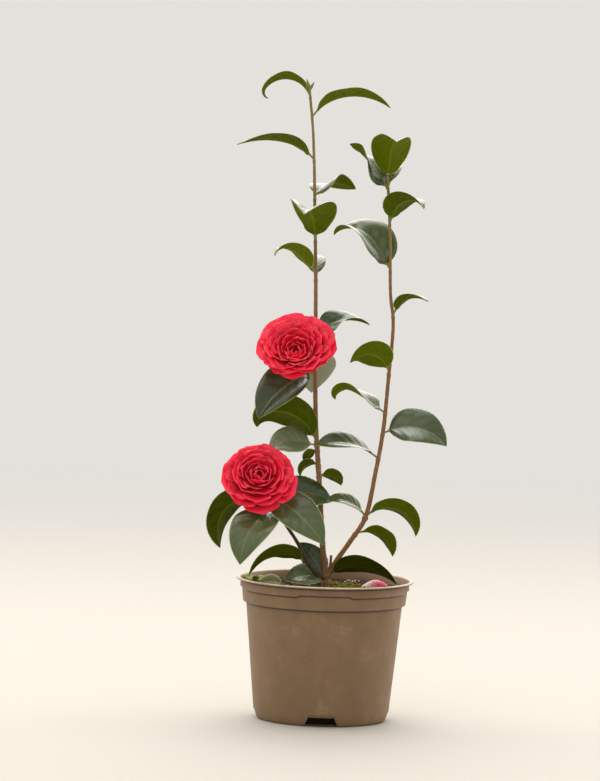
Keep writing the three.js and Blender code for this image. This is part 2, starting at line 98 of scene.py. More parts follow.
pixels_per_mm = RIM_WIDTH_PX / (2 * LIP_RADIUS)
camera_data = bpy.data.cameras.new("camera")
camera_data.sensor_width = SENSOR
camera_data.lens = SENSOR * CAMERA_DISTANCE * pixels_per_mm / IMAGE_HEIGHT
camera_data.clip_end = 50
bpy.context.scene.camera = add_object("camera", camera_data, (picture_x, picture_y, back),
                                      (CAMERA_AIM + CAMERA_DISTANCE * back) * MM)
# the plain curve keeps a petal's red as red as its material says
bpy.context.scene.view_settings.view_transform = "Standard"
print("lens", round(camera_data.lens, 1), "mm")

# %% [markdown]
# ## Colours and nodes
#
# A colour given in this script is an sRGB hex value, but a shader works in linear light, so one
# function turns one into the other. A material is a small web of nodes, and one more function adds a
# node with its settings and its links. Short names for the commonest nodes let each finish below
# read as a recipe.

# %% Colour and node helpers
def linear(hex_colour):
    """Turn sRGB hex into linear light: a channel c becomes ((c + 0.055) / 1.055) ** 2.4."""
    channels = np.array([int(hex_colour[i:i + 2], 16) / 255 for i in (1, 3, 5)])
    bright = ((channels + 0.055) / 1.055) ** 2.4
    return (*np.where(channels <= 0.04045, channels / 12.92, bright).tolist(), 1.0)


def node(tree, kind, inputs=(), **settings):
    """Add one node. settings are its own choices, and inputs maps a socket's name or number to a
    number, to a hex colour or to the output that feeds it."""
    made = tree.nodes.new(kind)
    for name, value in settings.items():
        setattr(made, name, value)
    for socket, value in dict(inputs).items():
        if isinstance(value, bpy.types.NodeSocket):
            tree.links.new(value, made.inputs[socket])
        else:
            made.inputs[socket].default_value = linear(value) if isinstance(value, str) else value
    return made


print("the grey #808080 in linear light", round(linear("#808080")[0], 3))

# %% Short names for common nodes
def maths(tree, operation, *values, clamp=False):
    """One sum on one to three values."""
    return node(tree, "ShaderNodeMath", enumerate(values), operation=operation, use_clamp=clamp).outputs[0]


def part(tree, vector, axis):
    """One coordinate of a vector: X, Y or Z."""
    return node(tree, "ShaderNodeSeparateXYZ", {0: vector}).outputs[axis]


def from_midline(tree, uv):
    """How far out a point lies on a leaf or petal, |2u - 1|: 0 on the midline, 1 at the margins."""
    return maths(tree, "ABSOLUTE", maths(tree, "MULTIPLY_ADD", part(tree, uv, "X"), 2.0, -1.0))


def stretch(tree, vector, *scale):
    """A vector scaled along each axis. A pattern grows longer where the scale is below 1."""
    return node(tree, "ShaderNodeMapping", {"Vector": vector, "Scale": scale}).outputs[0]


def noise(tree, vector, size, detail=2.0, roughness=0.5):
    """Noise with lumps about size across, in the vector's own unit."""
    return node(tree, "ShaderNodeTexNoise", {"Vector": vector, "Scale": 1 / size, "Detail": detail,
                                             "Roughness": roughness}).outputs[0]


def rescale(tree, value, low, high, to_low=0.0, to_high=1.0, way="LINEAR"):
    """Carry low to to_low and high to to_high, and hold both beyond."""
    ends = {"From Min": low, "From Max": high, "To Min": to_low, "To Max": to_high}
    return node(tree, "ShaderNodeMapRange", {"Value": value, **ends}, interpolation_type=way).outputs[0]


def ramp(tree, share, *stops):
    """The colour at share along stops, each a position with a hex colour or a grey from 0 to 255."""
    made = node(tree, "ShaderNodeValToRGB", {"Fac": share})
    elements = made.color_ramp.elements
    for count, (position, colour) in enumerate(stops):
        element = elements[count] if count < 2 else elements.new(position)
        element.position = position
        element.color = linear(colour if isinstance(colour, str) else "#" + 3 * f"{colour:02x}")
    return made.outputs[0]


def blend(tree, share, under, over):
    """Colour over laid on colour under, by share."""
    return node(tree, "ShaderNodeMix", {0: share, 6: under, 7: over}, data_type="RGBA").outputs[2]

# %% Start and close a finish
def new_finish(name, even):
    """Start a material. even gives the sockets whose value is the same all over the surface. It
    comes back with its tree and with a surface point's coordinates."""
    material = bpy.data.materials.new(name)
    material.use_nodes = True
    tree = material.node_tree
    for socket, value in even.items():
        tree.nodes["Principled BSDF"].inputs[socket].default_value = value
    return material, tree, node(tree, "ShaderNodeTexCoord").outputs


def finished(material, colour, height, strength, depth):
    """Feed the shader a colour and a bump that is depth millimetres deep."""
    tree = material.node_tree
    sockets = tree.nodes["Principled BSDF"].inputs
    bump = node(tree, "ShaderNodeBump", {"Height": height, "Strength": strength, "Distance": depth * MM})
    tree.links.new(colour, sockets["Base Color"])
    tree.links.new(bump.outputs[0], sockets["Normal"])
    return material

# %% [markdown]
# ## One way to make every surface
#
# A stem is rings along a line, a leaf is flat rings along a curved midrib, a petal is the same and
# a pot is rings round an upright axis. So one function closes a stack of rings into a skin with a
# fan of triangles at each end, and another joins many skins into one mesh. Worked out in whole
# arrays, some four hundred thousand triangles take only a few seconds.

# %% Close rings into a skin
def closed_skin(rings, start, end, across=0.0, along=None, strips=0):
    """Close rings (count, sides, 3) with fans to start and end. Each ring runs anticlockwise when
    seen from the end, which turns the faces outward. across and along are the surface's own u and
    v, and strips gives the finish of the strip that follows each ring point."""
    count, sides = rings.shape[:2]
    j = np.arange(sides)
    k = (j + 1) % sides
    i = 1 + np.arange(count - 1)[:, None] * sides
    lower = np.stack([i + j, i + k, i + sides + k], axis=-1).reshape(-1, 3)
    upper = np.stack([i + j, i + sides + k, i + sides + j], axis=-1).reshape(-1, 3)
    last = 1 + (count - 1) * sides
    first_fan = np.stack([0 * j, 1 + k, 1 + j], axis=-1)
    last_fan = np.stack([0 * j + count * sides + 1, last + j, last + k], axis=-1)
    along = np.linspace(0, 1, count) if along is None else along
    u = np.broadcast_to(across, (count, sides)).ravel()
    v = np.repeat(along, sides)
    return {
        "points": np.vstack([start[None], rings.reshape(-1, 3), end[None]]),
        "faces": np.vstack([first_fan, lower, upper, last_fan]),
        "u": np.concatenate([[0.5], u, [0.5]]),
        "v": np.concatenate([v[:1], v, v[-1:]]),
        "finish": np.tile(np.broadcast_to(strips, sides), 2 * count),
        "tone": 0.5,
    }


sample = closed_skin(np.zeros((2, 6, 3)), np.zeros(3), np.zeros(3))
print("two rings of six points close into", len(sample["faces"]), "triangles")

# %% Join skins into a piece
def build_piece(name, skins, finishes, slot, *nodes, crease=40):
    """Join skins (millimetres) into one mesh object (metres) that rides on the plant."""
    sizes = [len(skin["points"]) for skin in skins]
    offsets = np.concatenate([[0], np.cumsum(sizes)[:-1]])
    points = np.vstack([skin["points"] for skin in skins]) * MM
    faces = np.vstack([skin["faces"] + offset for skin, offset in zip(skins, offsets)])
    uv = np.column_stack([np.concatenate([skin[key] for skin in skins]) for key in "uv"])
    mesh = bpy.data.meshes.new(name)
    mesh.vertices.add(len(points))
    mesh.vertices.foreach_set("co", points.ravel())
    mesh.loops.add(faces.size)
    mesh.loops.foreach_set("vertex_index", faces.ravel())
    mesh.polygons.add(len(faces))
    mesh.polygons.foreach_set("loop_start", np.arange(0, faces.size, 3))
    mesh.polygons.foreach_set("material_index", np.concatenate([skin["finish"] for skin in skins]))
    mesh.polygons.foreach_set("use_smooth", np.ones(len(faces), bool))
    layer = mesh.uv_layers.new(name="surface")
    layer.data.foreach_set("uv", uv[faces.ravel()].ravel())
    tone = mesh.attributes.new("tone", "FLOAT", "POINT")
    tone.data.foreach_set("value", np.repeat([skin["tone"] for skin in skins], sizes))
    for finish in finishes:
        mesh.materials.append(finish)
    mesh.update(calc_edges=True)
    mesh.set_sharp_from_angle(angle=np.radians(crease))
    piece = add_object(name, mesh)
    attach(piece, "root")
    if nodes:
        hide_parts(*nodes)
    print(name, len(faces), "triangles")
    return piece

# %% [markdown]
# ## Directions, lines and roughness
#
# The plant's own growing rule is short: a limb is a smooth curve through a few points, and a leaf
# leaves it at a bearing and a slope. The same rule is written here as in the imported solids, so each
# dressed piece lies where its solid lies. Irregular detail comes from value noise: random numbers
# on a lattice, blended smoothly in between.

# %% Directions and lines
def direction(bearing, slope):
    """Unit vectors (cos s cos b, cos s sin b, sin s) from a bearing b and a slope s in degrees."""
    b, s = np.broadcast_arrays(np.radians(bearing), np.radians(slope))
    return np.stack([np.cos(s) * np.cos(b), np.cos(s) * np.sin(b), np.sin(s)], axis=-1)


def unit(vectors):
    """Vectors divided by their length."""
    return vectors / np.linalg.norm(vectors, axis=-1, keepdims=True)


def smooth_line(through, steps=24):
    """A uniform Catmull-Rom curve. Between b and c, with neighbours a and d, it is half of
    2b + (c - a)t + (2a - 5b + 4c - d)t^2 + (3b - a - 3c + d)t^3."""
    p = np.array(through, float)
    p = np.vstack([2 * p[0] - p[1], p, 2 * p[-1] - p[-2]])
    a, b, c, d = p[:-3, None], p[1:-2, None], p[2:-1, None], p[3:, None]
    t = (np.arange(steps) / steps)[None, :, None]
    curve = 0.5 * (2 * b + (c - a) * t + (2 * a - 5 * b + 4 * c - d) * t ** 2
                   + (3 * b - a - 3 * c + d) * t ** 3)
    return np.vstack([curve.reshape(-1, 3), p[-2]])


def follow(line, measure, wanted):
    """The points of a line at which its measure, such as its height, has the wanted values."""
    return np.stack([np.interp(wanted, measure, line[:, axis]) for axis in range(3)], axis=-1)


def at_height(line, z):
    """The point of a rising line at height z."""
    return follow(line, line[:, 2], z)


def even_steps(line, spacing):
    """The same line with points about spacing apart."""
    travelled = np.concatenate([[0], np.cumsum(np.linalg.norm(np.diff(line, axis=0), axis=1))])
    return follow(line, travelled, np.linspace(0, travelled[-1], int(travelled[-1] / spacing) + 1))


print("bearing 180, slope 0 points", direction(180, 0).round(3))

# %% Limbs and flat rings
def limb_skin(line, radius, sides, finish=0):
    """A limb round a line. A ring point is line + radius (cos a across + sin a other), where across
    stands at right angles to the line and to the y axis, and other to the line and to across.
    radius may vary by point."""
    way = unit(np.gradient(line, axis=0))
    across = unit(np.cross([0.0, 1.0, 0.0], way))
    other = np.cross(way, across)
    a = np.linspace(0, 2 * np.pi, sides, endpoint=False)
    radius = np.broadcast_to(radius, (len(line), sides))[..., None]
    rings = line[:, None] + radius * (np.cos(a)[:, None] * across[:, None]
                                      + np.sin(a)[:, None] * other[:, None])
    return closed_skin(rings, line[0], line[-1], strips=finish)


def bezier(t, a, b, c):
    """A quadratic Bezier curve: (1 - t)^2 a + 2t(1 - t) b + t^2 c."""
    return (1 - t) ** 2 * a + 2 * t * (1 - t) * b + t ** 2 * c


def about_upright(points, angle):
    """Points turned about the upright axis by an angle in radians: (xc - ys, xs + yc, z)."""
    c, s = np.cos(angle), np.sin(angle)
    return points @ np.array([[c, s, 0], [-s, c, 0], [0, 0, 1]])


def there_and_back(count):
    """Shares from 1 to -1 across a flat ring's upper face and back along its lower face, and a row
    that is 1 on the upper face and -1 on the lower."""
    t = np.linspace(1, -1, count)
    return np.concatenate([t, t[-2:0:-1]])[None], np.repeat([1.0, -1.0], [count, count - 2])[None]

# %% Value noise
def value_noise(x, y, seed):
    """Smooth noise from -1 to 1: lattice values blended by 3t^2 - 2t^3 in x and in y."""
    lattice = np.random.default_rng(seed).uniform(-1, 1, (64, 64))
    ix, iy = np.floor(x).astype(int), np.floor(y).astype(int)
    tx, ty = x - ix, y - iy
    tx, ty = tx * tx * (3 - 2 * tx), ty * ty * (3 - 2 * ty)

    def row(b):
        return lattice[ix % 64, (iy + b) % 64] * (1 - tx) + lattice[(ix + 1) % 64, (iy + b) % 64] * tx

    return row(0) * (1 - ty) + row(1) * ty


print("noise along a line", value_noise(np.arange(5) / 2, np.zeros(5), 1).round(2))

# %% [markdown]
# ## The growing rule
#
# Each stem is given by the points it passes through, its radius at foot and tip, and how far it
# flares where it meets the compost. Each leaf is one line: how high it leaves the stem, its
# bearing, length and rise, and how far it has drooped at its tip. Bearing 0 is right, 90 is away,
# 180 is left and 270 is towards the side that the blooms face. Three leaves carry a painted sheen,
# pale grey-green in place of the sky they reflect, and film says how much of it.

# %% Stems
COMPOST_TOP = 141.0
FLARE_REACH = 7.0
STEMS = {
    "main_stem": dict(
        through=[(1, 4, 139), (-0.5, 4, 158), (-5, 3, 200), (-9, 2, 250), (-14.5, 1, 310), (-17, 0, 360),
                 (-18, 0, 400), (-20, 0, 470), (-23, 0, 540), (-27, 0, 618), (-33, 1, 673)],
        foot=3.3, tip=1.3, flare=2.4),
    "right_stem": dict(
        through=[(2, 3, 152), (13, 1, 172), (26, -1, 192), (41.5, -3, 219), (50, -4, 264),
                 (57, -4, 312), (61, -4, 370), (64, -3, 424), (60, -2, 458), (57.5, -1, 520),
                 (53, 0, 581)],
        foot=2.7, tip=1.4, flare=0.0),
    "flower_stem": dict(
        through=[(-2, 0, 150), (-17, -6, 164), (-31, -12, 190), (-42, -15, 206), (-60, -19, 233),
                 (-71, -21, 246)],
        foot=2.2, tip=1.6, flare=0.0),
}
lines = {name: smooth_line(stem["through"]) for name, stem in STEMS.items()}
print("stem lengths", {name: round(len(even_steps(line, 1.0)) - 1) for name, line in lines.items()})

# %% Leaves
# z, length and stalk are millimetres, width is half the width as a share of the length, bend is the
# power by which the droop sets in, film is a share and all others are degrees
Leaf = namedtuple("Leaf", "z bearing length rise droop fold roll width twist turn bend curl stalk film",
                  defaults=(20, 0, 0.27, 0, 0, 1, 0, 8, 0))
LEAVES = {
    "main_stem": [
        Leaf(147, 165, 43, 68, 30, 8, -75, 0.31),
        Leaf(153, 205, 44, 6, 22, 18, -40, 0.36, stalk=5, film=0.15),
        Leaf(260, 15, 26, 24, 92, 20, -36, 0.44, stalk=4),
        Leaf(272, 184, 24, 30, 128, 18, 34, 0.42, stalk=4),
        Leaf(288, 178, 18, -10, 80, 12, 46, 0.42, stalk=3),
        Leaf(293, 188, 47, 10, 112, 15, -42, 0.42, bend=3.6, film=0.3),
        Leaf(297, 170, 80, 62, 122, 16, 50, 0.33, bend=1.4, curl=40),
        Leaf(398, 93, 68, -18, 56, 12, 180, 0.36, film=1.0),
        Leaf(372, 202, 76, -14, 50, 34, -46, 0.36),
        Leaf(412, 15, 56, 46, 70, 20, 60, 0.34, turn=-40, twist=-90),
    ],
    "left_shoot": [
        Leaf(470, 92, 42, 60, 60),
        Leaf(478, 206, 54, 44, 130, 22, 14, 0.31, bend=3.5),
        Leaf(511, 260, 80, 68, 92, 34, -4, 0.37),
        Leaf(556, 80, 62, 44, 70, 20, 20, turn=-70, twist=-85),
        Leaf(597, 172, 82, 58, 78, 20, 30, 0.25, bend=0.6, twist=-40),
        Leaf(642, 4, 86, 62, 96, 22, -13, 0.26, bend=0.8),
        Leaf(664, 182, 64, 70, 150, 26, 8, 0.28, curl=90),
    ],
    "right_stem": [
        Leaf(154, 344, 77, 36, 82, 14, -30, 0.29),
        Leaf(200, 12, 48, 24, 110, 20, -24, 0.34),
        Leaf(218, 192, 44, 60, 80, 20, -30),
        Leaf(218, 8, 68, 50, 140, 20, -26, 0.3),
        Leaf(281, 195, 66, 40, 58, 20, -8, 0.31, twist=-30),
        Leaf(308, 352, 68, 32, 82, 18, 46, 0.36),
        Leaf(330, 170, 62, 34, 165, 22, -22, 0.31, bend=5, twist=60),
    ],
    "right_shoot": [
        Leaf(372, 200, 50, 80, 132, 16, 52, 0.38, twist=-10),
        Leaf(434, 325, 46, 70, 98, 24, -8),
        Leaf(482, 154, 82, 60, 110, 30, -36, 0.34, bend=2.2, twist=38),
        Leaf(531, 318, 56, 76, 128, 24, -14, 0.37, bend=1.3),
        Leaf(570, 60, 32, 66, 50),
        Leaf(566, 158, 60, 62, 30, 25, -60, 0.34, twist=120),
        Leaf(577, 277, 72, 80, 88, 36, -4, 0.36),
    ],
    "flower_stem": [
        Leaf(168, 194, 66, 36, 98, 18, 26, 0.34),
        Leaf(224, 233, 82, 1, 86, 10, -12, 0.31),
        Leaf(242, 331, 83, -16, 36, 12, 36, 0.29),
        Leaf(232, 163, 94, 30, 146, 15, 24, 0.26),
        Leaf(236, 12, 64, 24, 52, 15, 50, 0.34),
    ],
}
CARRIER = {"left_shoot": "main_stem", "right_shoot": "right_stem"}
print("leaves", sum(len(group) for group in LEAVES.values()))

# %% [markdown]
# ## Bark
#
# A camellia's young wood is tan to grey-brown with fine lengthwise ridges, olive where this year's
# growth begins, and swollen into a ring at each leaf. The ridges and rings are real shape, cut into
# the mesh, because they show on the outline. The grain between them is finer than a triangle, so
# the finish adds it as colour and bump, stretched along the stem by a Mapping node.

# %% Bark finishes
def bark_finish(name, foot, middle, top, low, high):
    """Young woody bark: dull, fibrous, with a colour that changes up the stem from low to high."""
    material, tree, place = new_finish(name, {"Roughness": 0.62, "Specular IOR Level": 0.35})
    share = rescale(tree, part(tree, place["Object"], "Z"), low * MM, high * MM)
    body = ramp(tree, share, (0.0, foot), (0.12, middle), (0.62, middle), (0.82, top))
    # fibres just under 1 mm across and some 13 mm long
    fibre = noise(tree, stretch(tree, place["Object"], 1.0, 1.0, 0.07), 0.9 * MM, 4.0, 0.65)
    colour = blend(tree, ramp(tree, fibre, (0.40, 150), (0.58, 0)), body, "#33200f")
    # lenticels and scuffs 2 mm across
    speck = noise(tree, place["Object"], 2.6 * MM)
    colour = blend(tree, ramp(tree, speck, (0.60, 0), (0.70, 150)), colour, "#b39a76")
    return finished(material, colour, fibre, 0.5, 0.3)


bark_of = {
    "main_stem": bark_finish("camellia_bark_tan", "#8f6a42", "#8a663f", "#8c7a44", 141, 690),
    "right_stem": bark_finish("camellia_bark_russet", "#9a7040", "#8c6038", "#86703c", 150, 600),
    "flower_stem": bark_finish("camellia_bark_dark", "#5a4028", "#4c3524", "#5d5a2c", 150, 250),
}
print("bark finishes", len(bark_of))

# %% Stems with ridges and leaf rings
def stem_radius(stem, z):
    """tip + (foot - tip)(1 - share)^1.2 + flare exp(-(z - low) / reach), share of its height."""
    low, high = stem["through"][0][2], stem["through"][-1][2]
    share = np.clip((z - low) / (high - low), 0, 1)
    return (stem["tip"] + (stem["foot"] - stem["tip"]) * (1 - share) ** 1.2
            + stem["flare"] * np.exp(-(z - low) / FLARE_REACH))


def stem_skin(name, leaf_heights, finish, seed):
    """A limb whose radius carries wandering lengthwise ridges, knobs and a ring at each leaf."""
    stem = STEMS[name]
    line = even_steps(lines[name], 1.1)
    sides = 30
    z = line[:, 2][:, None]
    a = np.linspace(0, 2 * np.pi, sides, endpoint=False)[None]
    drift = value_noise(z / 30, 0 * z + 0.5, seed)
    ridge = 0.045 * np.sin(5 * a + 2.4 * drift) + 0.03 * np.sin(9 * a - 3.1 * drift + 1)
    knobs = 0.06 * value_noise(z / 4 + 0 * a, 3 + a * 8 / (2 * np.pi), seed + 1)
    ring = sum(np.exp(-((z - height + 1.2) / 1.7) ** 2) - 0.5 * np.exp(-((z - height - 1.6) / 0.7) ** 2)
               for height in leaf_heights)
    return limb_skin(line, stem_radius(stem, z) * (1 + ridge + knobs + 0.2 * ring), sides, finish)


def heights_on(stem):
    """The heights at which leaves leave a stem, its shoot's leaves among them."""
    groups = [group for name, group in LEAVES.items() if CARRIER.get(name, name) == stem]
    return [leaf.z for group in groups for leaf in group]


stub_line = even_steps(smooth_line([(1, 3, 150), (5, 2, 164), (5.8, 2, 175.5)]), 1.0)
stub_share = np.linspace(0, 1, len(stub_line))[:, None]
stub = limb_skin(stub_line, 1.9 - 0.5 * stub_share, 18, finish=1)
stem_skins = [stem_skin(name, heights_on(name), order, 20 + order) for order, name in enumerate(STEMS)]
build_piece("bark_stems", [*stem_skins, stub], list(bark_of.values()), "bark",
            "main_stem", "right_stem", "flower_stem", "left_shoot", "right_shoot")

# %% [markdown]
# ## Leaf finishes
#
# A camellia leaf is leathery. Its top is a deep green with a waxy skin that throws back a pale
# sheen, and its underside is duller, yellower and lets some light through. Side veins leave the
# midrib in pairs and bow towards the tip. The pattern follows the leaf, so it is drawn from the
# leaf's own u, across, and v, along. A vein lies wherever pairs * v - lean * |across| is whole.

# %% Leaf finishes
VEIN_PAIRS = 7.0
VEIN_LEAN = 1.6


def leaf_finish(name, dark, bright, vein, vein_show, even, quilt):
    """A leaf face: two greens mixed by leaf and by patch, with midrib and side veins over them."""
    material, tree, place = new_finish(name, even)
    side = from_midline(tree, place["UV"])
    lean = maths(tree, "MULTIPLY", side, -VEIN_LEAN)
    ladder = maths(tree, "MULTIPLY_ADD", part(tree, place["UV"], "Y"), VEIN_PAIRS, lean)
    away = maths(tree, "PINGPONG", ladder, 0.5)
    side_vein = ramp(tree, away, (0.02, 150), (0.11, 0))
    midrib = ramp(tree, side, (0.035, 255), (0.09, 0))
    marks = maths(tree, "MULTIPLY", maths(tree, "MAXIMUM", side_vein, midrib), vein_show)
    # soft patches about 9 mm across
    patch = noise(tree, place["Object"], 9 * MM, 3.0)
    tone = node(tree, "ShaderNodeAttribute", attribute_name="tone").outputs["Fac"]
    share = maths(tree, "ADD", maths(tree, "MULTIPLY_ADD", patch, 0.7, tone), -0.35, clamp=True)
    # what the tone has above 1 is the share of painted sheen, pale in place of reflected sky
    film = maths(tree, "SUBTRACT", tone, 1.0, clamp=True)
    body = blend(tree, film, blend(tree, share, dark, bright), "#a3ab90")
    # the skin between veins is finely pebbled, drawn as coarse as 2 mm so that it shows
    pebble = noise(tree, place["Object"], 2 * MM, 1.0)
    relief = maths(tree, "MULTIPLY_ADD", pebble, 0.3, away)
    return finished(material, blend(tree, marks, body, vein), relief, quilt, 0.8)


leaf_top = leaf_finish(
    "leaf_waxy_top", "#23340b", "#42521a", "#7a8648", 0.34,
    {"Roughness": 0.4, "IOR": 1.45, "Coat Weight": 0.6, "Coat Roughness": 0.2}, 0.35)
leaf_under = leaf_finish(
    "leaf_dull_underside", "#3c4a03", "#5f6d05", "#7f8a1c", 0.45,
    {"Roughness": 0.7, "Specular IOR Level": 0.06, "Subsurface Weight": 0.15,
     "Subsurface Scale": 0.002}, 0.25)
# the pale margin is partly the leaf's own lighter edge and partly a painted rim of light
leaf_edge = leaf_finish(
    "leaf_pale_margin", "#7f8c4a", "#a3ab6c", "#b4bb7c", 0.3, {"Roughness": 0.5}, 0.1)
leaf_stalk = leaf_finish(
    "leaf_stalk_green", "#66702c", "#8a8a3e", "#8a8a3e", 0.2, {"Roughness": 0.5}, 0.2)
LEAF_FINISHES = [leaf_top, leaf_under, leaf_edge, leaf_stalk]
TOP, UNDER, EDGE, STALK = range(4)
print("leaf finishes", len(LEAF_FINISHES))

# %% [markdown]
# ## The leaf surface
#
# A leaf is swept along its midrib, which starts at its rise and bends down by its droop. Each ring
# crosses the top from one margin to the other and comes back along the underside. On that ring lie
# the V fold, the quilting between side veins, a raised midrib below, blunt teeth on the margin and
# a slow wave, so the leaf keeps its character from any side. A flat card would look cut out.

# %% Leaf surface
STALK_RADIUS = 1.05
LEAF_THICKNESS = 0.9
MARGIN_WIDTH = 0.55
TOOTH_DEPTH = 0.4
TOOTH_SPACING = 3.6
STALK_RINGS = 5
FACE_POINTS = 17
QUILT_DEPTH = 0.15
MIDRIB_HEIGHT = 0.35


def blade_outline(u):
    """Half width along the blade: u^0.62 (1 - u)^0.95 over its greatest value."""
    a, b = 0.62, 0.95
    widest = a / (a + b)
    return u ** a * (1 - u) ** b / (widest ** a * (1 - widest) ** b)


def leaf_skin(start, leaf, tone, seed):
    """Sweep flat rings along a midrib that is found by adding up short steps in its direction."""
    total = leaf.stalk + leaf.length
    fine = np.linspace(0, total, 401)

    def slope(d):
        tipward = np.clip(((d - leaf.stalk) / leaf.length - 0.75) / 0.25, 0, 1)
        return leaf.rise - leaf.droop * (d / total) ** leaf.bend - leaf.curl * tipward ** 1.5

    def bearing(d):
        return leaf.bearing + leaf.turn * d / total

    middle = (fine[1:] + fine[:-1]) / 2
    steps = direction(bearing(middle), slope(middle)) * (fine[1] - fine[0])
    path = start + np.vstack([np.zeros(3), np.cumsum(steps, axis=0)])
    teeth = max(10, 2 * round(leaf.length / TOOTH_SPACING))
    on_stalk = np.linspace(0, leaf.stalk, STALK_RINGS, endpoint=False)
    d = np.concatenate([on_stalk, leaf.stalk + leaf.length * (np.arange(teeth) + 0.4) / teeth])
    u = np.clip((d - leaf.stalk) / leaf.length, 0, 1)[:, None]
    v = 0.08 + 0.92 * u
    midrib = follow(path, fine, d)[:, None]
    along = direction(bearing(d), slope(d))[:, None]
    level = direction(bearing(d) + 90, 0)[:, None]
    up = np.cross(along, level)
    roll = np.radians(leaf.roll + leaf.twist * u)[..., None]
    side = level * np.cos(roll) + up * np.sin(roll)
    normal = up * np.cos(roll) - level * np.sin(roll)

    # ring points crowd towards the midrib, and each margin keeps a narrow strip of its own. is_blade
    # grows from 0 to 1 over the blade's first tenth, where the round stalk turns flat
    t, over = there_and_back(FACE_POINTS)
    is_edge = np.abs(t) == 1
    next_in = 1 - 2 / (FACE_POINTS - 1)
    a = np.sign(t) * np.where(is_edge, 1, (np.abs(t) / next_in) ** 1.5)
    is_blade = np.clip(u / 0.1, 0, 1)
    is_blade = is_blade * is_blade * (3 - 2 * is_blade)
    half = np.maximum(STALK_RADIUS * (1 - 0.6 * u), leaf.width * leaf.length * blade_outline(u))
    margin = np.minimum(MARGIN_WIDTH, 0.3 * half)
    tooth = TOOTH_DEPTH * (np.arange(len(d))[:, None] % 2) * is_blade * np.clip((1 - u) * 8, 0, 1)
    x = np.where(is_edge, a * (half + tooth), a * (half - margin))
    share = np.clip(np.abs(x) / half, 0, 1)

    # heights above the flat blade, in millimetres
    fold = np.radians(leaf.fold)
    valley = half * (np.sqrt(share ** 2 + 0.01) - 0.1) * np.sin(fold)
    ladder = VEIN_PAIRS * v - VEIN_LEAN * share
    quilt = QUILT_DEPTH * np.cos(2 * np.pi * (ladder - 0.5)) * np.sin(np.pi * share) ** 0.7
    wave = value_noise(u * 5 + 0 * share, 9 + np.sign(x) + 0 * u, seed) * 0.05 * half * share ** 2
    lift = valley + is_blade * (quilt + wave - 0.1 * half * share ** 4)
    round_thick = STALK_RADIUS * np.sqrt(1 - share ** 2)
    flat_thick = LEAF_THICKNESS / 2 * np.sqrt(1 - share ** 6)
    rib = MIDRIB_HEIGHT * np.exp(-(x / 0.8) ** 2) * (1 - u) ** 0.6 * np.where(over < 0, 1.0, -0.5)
    thick = (1 - is_blade) * round_thick + is_blade * (flat_thick + rib)
    thick = np.where(is_edge, 0, np.maximum(thick, 0.12))
    rings = (midrib + side * (x * np.cos(fold) + (1 - np.cos(fold)) * (1 - is_blade) * x)[..., None]
             + normal * (lift * is_blade + over * thick)[..., None])
    face = FACE_POINTS - 3
    strips = np.repeat([EDGE, TOP, EDGE, UNDER, EDGE], [1, face, 2, face, 1])
    skin = closed_skin(rings, start, path[-1], (a + 1) / 2, v[:, 0], strips)
    first, second = skin["faces"][:, :2].T
    skin["finish"][(first <= STALK_RINGS * t.size) & (second <= (STALK_RINGS + 1) * t.size)] = STALK
    skin["tone"] = tone
    return skin

# %% Put every leaf on its stem
leaf_skins = []
for group, leaves in LEAVES.items():
    line = lines[CARRIER.get(group, group)]
    for leaf in leaves:
        tone = float(rng.uniform(0.1, 0.9))
        # a leaf with painted sheen gets a tone above 1
        if leaf.film:
            tone = 1 + leaf.film
        leaf_skins.append(leaf_skin(at_height(line, leaf.z), leaf, tone, 100 + len(leaf_skins)))
leaf_nodes = [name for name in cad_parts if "_leaf_" in name]
build_piece("leaves", leaf_skins, LEAF_FINISHES, "foliage", *leaf_nodes, "left_shoot", "right_shoot",
            crease=70)

# %% [markdown]
# ## Buds
#
# At the tip of each shoot sits a small pointed bud wrapped in scales. Each is a short limb that
# swells and closes, with a shallow spiral step where one scale overlaps the next.

# %% Buds
def bud_skin(start, bearing, slope, length, radius):
    """A limb whose radius is radius sin^0.9 of its share, stepped by a spiral of scales."""
    share = np.linspace(0, 1, 22)[:, None]
    line = start + direction(bearing, slope)[None] * share * length
    a = np.linspace(0, 2 * np.pi, 20, endpoint=False)[None]
    scale = (share * 4 + a / (2 * np.pi)) % 1
    swell = np.sin(np.pi * (0.25 + 0.74 * share)) ** 0.9
    return limb_skin(line, 0.15 + radius * swell * (0.94 + 0.1 * scale * (1 - share)), 20)


TIP_BUDS = {
    "main_stem": [(150, 72, 12, 1.9), (10, 60, 10, 1.6)],
    "right_stem": [(120, 80, 10, 1.7)],
}
bud_skins = [bud_skin(lines[stem][-1] - [0, 0, 2], *bud) for stem, buds in TIP_BUDS.items() for bud in buds]
build_piece("tip_buds", bud_skins, [leaf_stalk], "foliage", "left_shoot", "right_shoot")

# %% [markdown]
# ## Petal finish
#
# A camellia petal is matt and slightly velvety. It is darker red towards its base, where it runs
# into the flower, partly its own deeper red and partly painted shade where each row lies under the
# next. A thin line round its rim is lighter and pinker, a painted glow where light comes through the
# thin edge, and that line is what lets the eye count the rows. It is drawn from the petal's own u
# and v, with fine veins that fan out from its base.

